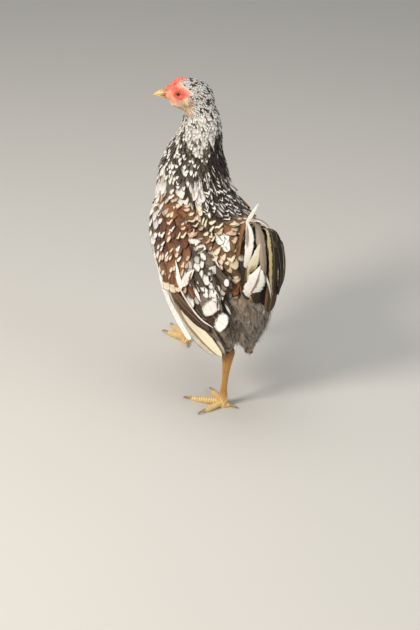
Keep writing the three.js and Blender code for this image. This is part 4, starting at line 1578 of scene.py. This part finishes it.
# the fluff shortens towards the hocks, and lengthens again over the forward one
def fluffShare(points):
    _, ahead, up = birdWays(points)
    return 0.36 + 0.64 * smoothStep(96, 132, up) + 0.6 * smoothStep(108, 92, up) * (ahead > 50)


def softShape(points):
    return dict(gap=5.5, length=17 * fluffShare(points), half=4.6, rise=3.2, point=0.5, scatter=0.7)


# each thigh, with its half of the belly
def addFluff(side):
    hand = 1 if side == "left" else -1
    left, ahead, up = birdWays(faceMiddles)
    belly = owned("trunk") & (up < 180) & (ahead < 66) & (left * hand >= 0)
    chosen = owned(f"thigh_{side}") | belly
    soft = contourBatch(chosen, softShape, rows=7, columns=5)
    featherPiece(f"fluff_{side}", [soft, fluffBatch(chosen)], fluffFeathers, "grey_fluff")


# each eye is a ball that bulges at its front: sizes in mm
eyeLook = dict(radius=4.35, bulge=0.07, rings=28, segments=40)


def addEye(side):
    hand = 1 if side == "left" else -1
    axis = unit(headSide * hand + beakWay * 0.12)
    upWay = unit(upward - axis * axis[2])
    across = np.cross(upWay, axis)
    angles = np.linspace(0.02, math.pi - 0.02, eyeLook["rings"])
    radius = eyeLook["radius"] * (1 + eyeLook["bulge"] * np.exp(-(angles / 0.45) ** 2)) * millimetre
    centres = nodeMiddle(f"eye_{side}") + axis * (np.cos(angles) * radius)[:, None]
    size = np.sin(angles) * radius
    points, faces = tube(centres, across[None], upWay[None], size, size, eyeLook["segments"])
    made = makeObject(f"eye_{side}.glossy", points, outwardFaces(points, faces))
    gaze = np.arccos(np.clip(unit(points - nodeMiddle(f"eye_{side}")) @ axis, -1, 1))
    addAttribute(made, "gaze", "FLOAT", gaze)
    dressPiece(made, eyeFinish(), "eyes", f"eye_{side}")


# each jaw, from its root in the face to its tip: out, up, half width, half height
beakShape = dict(
    upper=[(9, -2.2, 7.6, 6.0), (14, -2.6, 6.6, 5.4), (18, -3.2, 5.7, 4.9), (22, -3.9, 4.8, 4.3),
           (26, -4.8, 3.7, 3.4), (30, -6.1, 2.3, 2.3), (32.6, -7.5, 1.0, 1.2), (33.4, -8.3, 0.35, 0.45)],
    lower=[(9, -8.9, 6.0, 2.8), (14, -8.8, 5.3, 2.5), (19, -8.6, 4.4, 2.1), (24, -8.2, 3.2, 1.6),
           (28, -7.9, 2.0, 1.0), (30.6, -7.7, 0.6, 0.4)],
    tones=(paint(180, 104, 56), paint(232, 192, 122)),   # base and tip
    mouth=-7.3,   # the height of the line between the jaws
    gap=0.12,
    rings=44,
    segments=36,
)


def addBeak(jaw):
    shape = curveThrough(beakShape[jaw], np.linspace(0, 1, beakShape["rings"]))
    out, up, wide, high = shape.T
    angle = np.arange(beakShape["segments"]) / beakShape["segments"] * 2 * math.pi
    crown = np.sin(angle)[None] * np.ones(len(out))[:, None]
    sideways = np.cos(angle)[None] * wide[:, None]
    isUpper = jaw == "upper"
    # the upper jaw hooks over the lower
    line = beakShape["mouth"] - 1.6 * smoothStep(29, 33.4, out) * isUpper
    hand, limit = (1, np.maximum) if isUpper else (-1, np.minimum)
    rounded = limit(up[:, None] + crown * high[:, None], (line + hand * beakShape["gap"])[:, None])
    if isUpper:
        sideways *= 1 - 0.28 * np.clip(crown, 0, 1) ** 2 * smoothStep(12, 24, out)[:, None]
        nostril = np.exp(-((out[:, None] - 18.4) / 1.5) ** 2 - ((rounded + 0.6) / 0.7) ** 2)
        sideways *= 1 - 0.3 * nostril
    points = np.array([onHead(o, 0, 0) for o in out])[:, None] + (
        headSide * sideways[:, :, None] + upward * rounded[:, :, None]) * millimetre
    faces = tubeFaces(len(out), beakShape["segments"])
    points = np.vstack([points.reshape(-1, 3), points[0].mean(0)[None], points[-1].mean(0)[None]])
    made = makeObject(f"beak_{jaw}.horn", points, outwardFaces(points, faces))
    addAttribute(made, "along", "FLOAT", headWays(points)[0])
    finish = hornFinish(f"beakHorn_{jaw}", *beakShape["tones"], low=16.0, high=27.0)
    dressPiece(made, finish, "beak_horn", f"beak_{jaw}")


toeNames = ("inner", "middle", "outer", "hallux")
legLook = dict(voxel=0.62, shankScale=4.4, toeScale=3.4, relief=0.34, seamWidth=0.4)   # mm
legTones = dict(
    shank=paint(194, 142, 70),
    warm=paint(152, 92, 46),
    foot=paint(234, 200, 132),
    heel=paint(214, 108, 58),
)
clawWork = dict(rings=18, segments=14, tones=(paint(176, 136, 88), paint(122, 98, 70)))   # base and tip
shankEnd = 0.014   # how much of a shank counts as its top or bottom, m
alongFloor = np.array([1, 1, 0])


# the middle of a shank's top or bottom end
def endMiddle(name, top):
    points, _ = nodeShape(name)
    height = points[:, 2]
    edge = height.max() - shankEnd if top else height.min() + shankEnd
    return points[height > edge].mean(0) if top else points[height < edge].mean(0)


def addLeg(side):
    nodes = [f"shank_{side}"] + [f"toe_{side}_{t}" for t in toeNames]
    made = fuse(f"leg_{side}", [nodeShape(n) for n in nodes], legLook["voxel"], grow=0.3)
    points, triangles = meshArrays(made.data)
    pairs = edgePairs(triangles)
    points = evened(points, pairs, 5)
    normals = unit(evened(pointNormals(points, triangles), pairs, 3))
    hock, ankle = endMiddle(f"shank_{side}", True), endMiddle(f"shank_{side}", False)
    # the shank is slimmer low down, and closes at its top, inside the fluff
    slim = 0.15 * smoothStep(0.075, 0.045, points[:, 2]) * smoothStep(0.018, 0.03, points[:, 2])
    slim = slim + 0.5 * smoothStep(points[:, 2].max() - 0.009, points[:, 2].max(), points[:, 2])
    middle = ankle + (hock - ankle) * ((points[:, 2:] - ankle[2]) / (hock[2] - ankle[2]))
    points = points + (middle - points) * slim[:, None] * alongFloor
    # each toe narrows into its claw
    for name in toeNames:
        corners, _ = nodeShape(f"claw_{side}_{name}")
        way = unit((corners.mean(0) - ankle) * alongFloor)
        far, end = (points - ankle) @ way, ((corners - ankle) @ way).min()
        core = ankle * alongFloor + way * far[:, None] + upward * 0.0036
        narrow = 0.5 * smoothStep(end - 0.008, end + 0.001, far)
        narrow = narrow * (np.linalg.norm(points - core, axis=1) < 0.009)
        points = points + (core - points) * narrow[:, None]
    seams, lifts = legScales(points, side, hock, ankle)
    offSole = smoothStep(0.0004, 0.002, points[:, 2])   # the soles stay flat
    points = points + normals * (lifts * offSole)[:, None] * millimetre
    points[:, 2] = np.maximum(points[:, 2], 0.0001)
    made.data.vertices.foreach_set("co", points.astype(np.float32).ravel())
    addAttribute(made, "seam", "FLOAT", seams)
    up = points[:, 2] / millimetre
    warm = smoothStep(70, 98, up)[:, None]
    low = smoothStep(26, 8, up)[:, None]
    tone = blend(blend(legTones["shank"], legTones["warm"], warm), legTones["foot"], low)
    heel = smoothStep(9, 3, np.linalg.norm(points[:, :2] - ankle[:2], axis=1) / millimetre)[:, None] * low
    addAttribute(made, "tone", "FLOAT_COLOR", blend(tone, legTones["heel"], heel, 0.7))
    dressPiece(made, legFinish(), "leg_scales", *nodes)


shankRadius = 5.0          # mm
scaleTurns = (1.25, 1.9)   # where the front plates end and the back ones start round the shank, radians


# overlapping plates: down the front and back of the shank, and across the top of each toe
def legScales(points, side, hock, ankle):
    along = unit(ankle - hock)
    front = unit(heading(0.2, 1, 0) - along * (heading(0.2, 1, 0) @ along))
    across = np.cross(along, front)
    away = points - hock
    down = away @ along / millimetre
    angle = np.arctan2(away @ across, away @ front)
    row = (angle > 0).astype(float)
    backRow = np.abs(angle) > scaleTurns[1]
    size = np.where(backRow, legLook["shankScale"] * 0.72, legLook["shankScale"])
    phase = (down / size + 0.5 * row) % 1
    edge = np.minimum(phase, 1 - phase) * size
    for turn in (0, *scaleTurns):
        edge = np.minimum(edge, np.abs(np.abs(angle) - turn) * shankRadius)
    seam = np.exp(-(edge / legLook["seamWidth"]) ** 2)
    lift = legLook["relief"] * (0.4 * phase - seam)
    onToes = smoothStep(20, 12, points[:, 2] / millimetre)
    best, toeSeam, toeLift = np.full(len(points), 1e9), np.zeros(len(points)), np.zeros(len(points))
    for name in toeNames:
        tip = nodeMiddle(f"claw_{side}_{name}")
        start = np.array([ankle[0], ankle[1], 0.006])
        way = unit(tip - start)
        gone = points - start
        far = gone @ way / millimetre
        off = np.linalg.norm(gone - way * (gone @ way)[:, None], axis=1) / millimetre + np.maximum(-far, 0)
        phase = (far / legLook["toeScale"]) % 1
        line = np.exp(-(np.minimum(phase, 1 - phase) * legLook["toeScale"] / legLook["seamWidth"]) ** 2)
        above = smoothStep(2.5, 4.5, points[:, 2] / millimetre)
        closer = off < best
        best = np.where(closer, off, best)
        toeSeam = np.where(closer, line * above, toeSeam)
        toeLift = np.where(closer, legLook["relief"] * above * (0.5 * (1 - phase) - line), toeLift)
    return seam * (1 - onToes) + toeSeam * onToes, lift * (1 - onToes) + toeLift * onToes


def addClaws(side):
    ankle = endMiddle(f"shank_{side}", False)
    points, faces, along, start = [], [], [], 0
    for name in toeNames:
        corners, _ = nodeShape(f"claw_{side}_{name}")
        way = unit((corners.mean(0) - ankle) * alongFloor)
        far = (corners - ankle) @ way
        base, tip = far.min() - 0.002, far.max()
        share = np.linspace(0, 1, clawWork["rings"])
        distance = base + (tip - base) * np.sin(share * math.pi / 2)
        height = (4.1 - 0.5 * share - 2.9 * share**3) * millimetre
        centres = ankle * alongFloor + way * distance[:, None] + upward * height[:, None]
        size = (1.75 * (1 - share) ** 0.62 + 0.16) * millimetre
        sideways = np.cross(upward, way)[None]
        shape, triangles = tube(centres, sideways, upward[None], size * 0.82, size, clawWork["segments"])
        shape[:, 2] = np.maximum(shape[:, 2], 0.0002)
        points.append(shape)
        faces.append(outwardFaces(shape, triangles) + start)
        along.append((shape - ankle) @ way / tip)
        start += len(shape)
    points = np.vstack(points)
    made = makeObject(f"claws_{side}", points, np.vstack(faces))
    addAttribute(made, "along", "FLOAT", np.concatenate(along))
    finish = hornFinish(f"clawHorn_{side}", *clawWork["tones"], low=0.8, high=1.0)
    dressPiece(made, finish, "claw_horn", *[f"claw_{side}_{t}" for t in toeNames])


addHeadFeathers()
addNeckFeathers()
addBodyFeathers()
addTailCoverts()
addTailQuills()
for side in ("left", "right"):
    addFluff(side)
    addWingCoverts(side)
    addWingQuills(side)
    addEye(side)
    addLeg(side)
    addClaws(side)
for jaw in ("upper", "lower"):
    addBeak(jaw)

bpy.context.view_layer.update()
report("done")
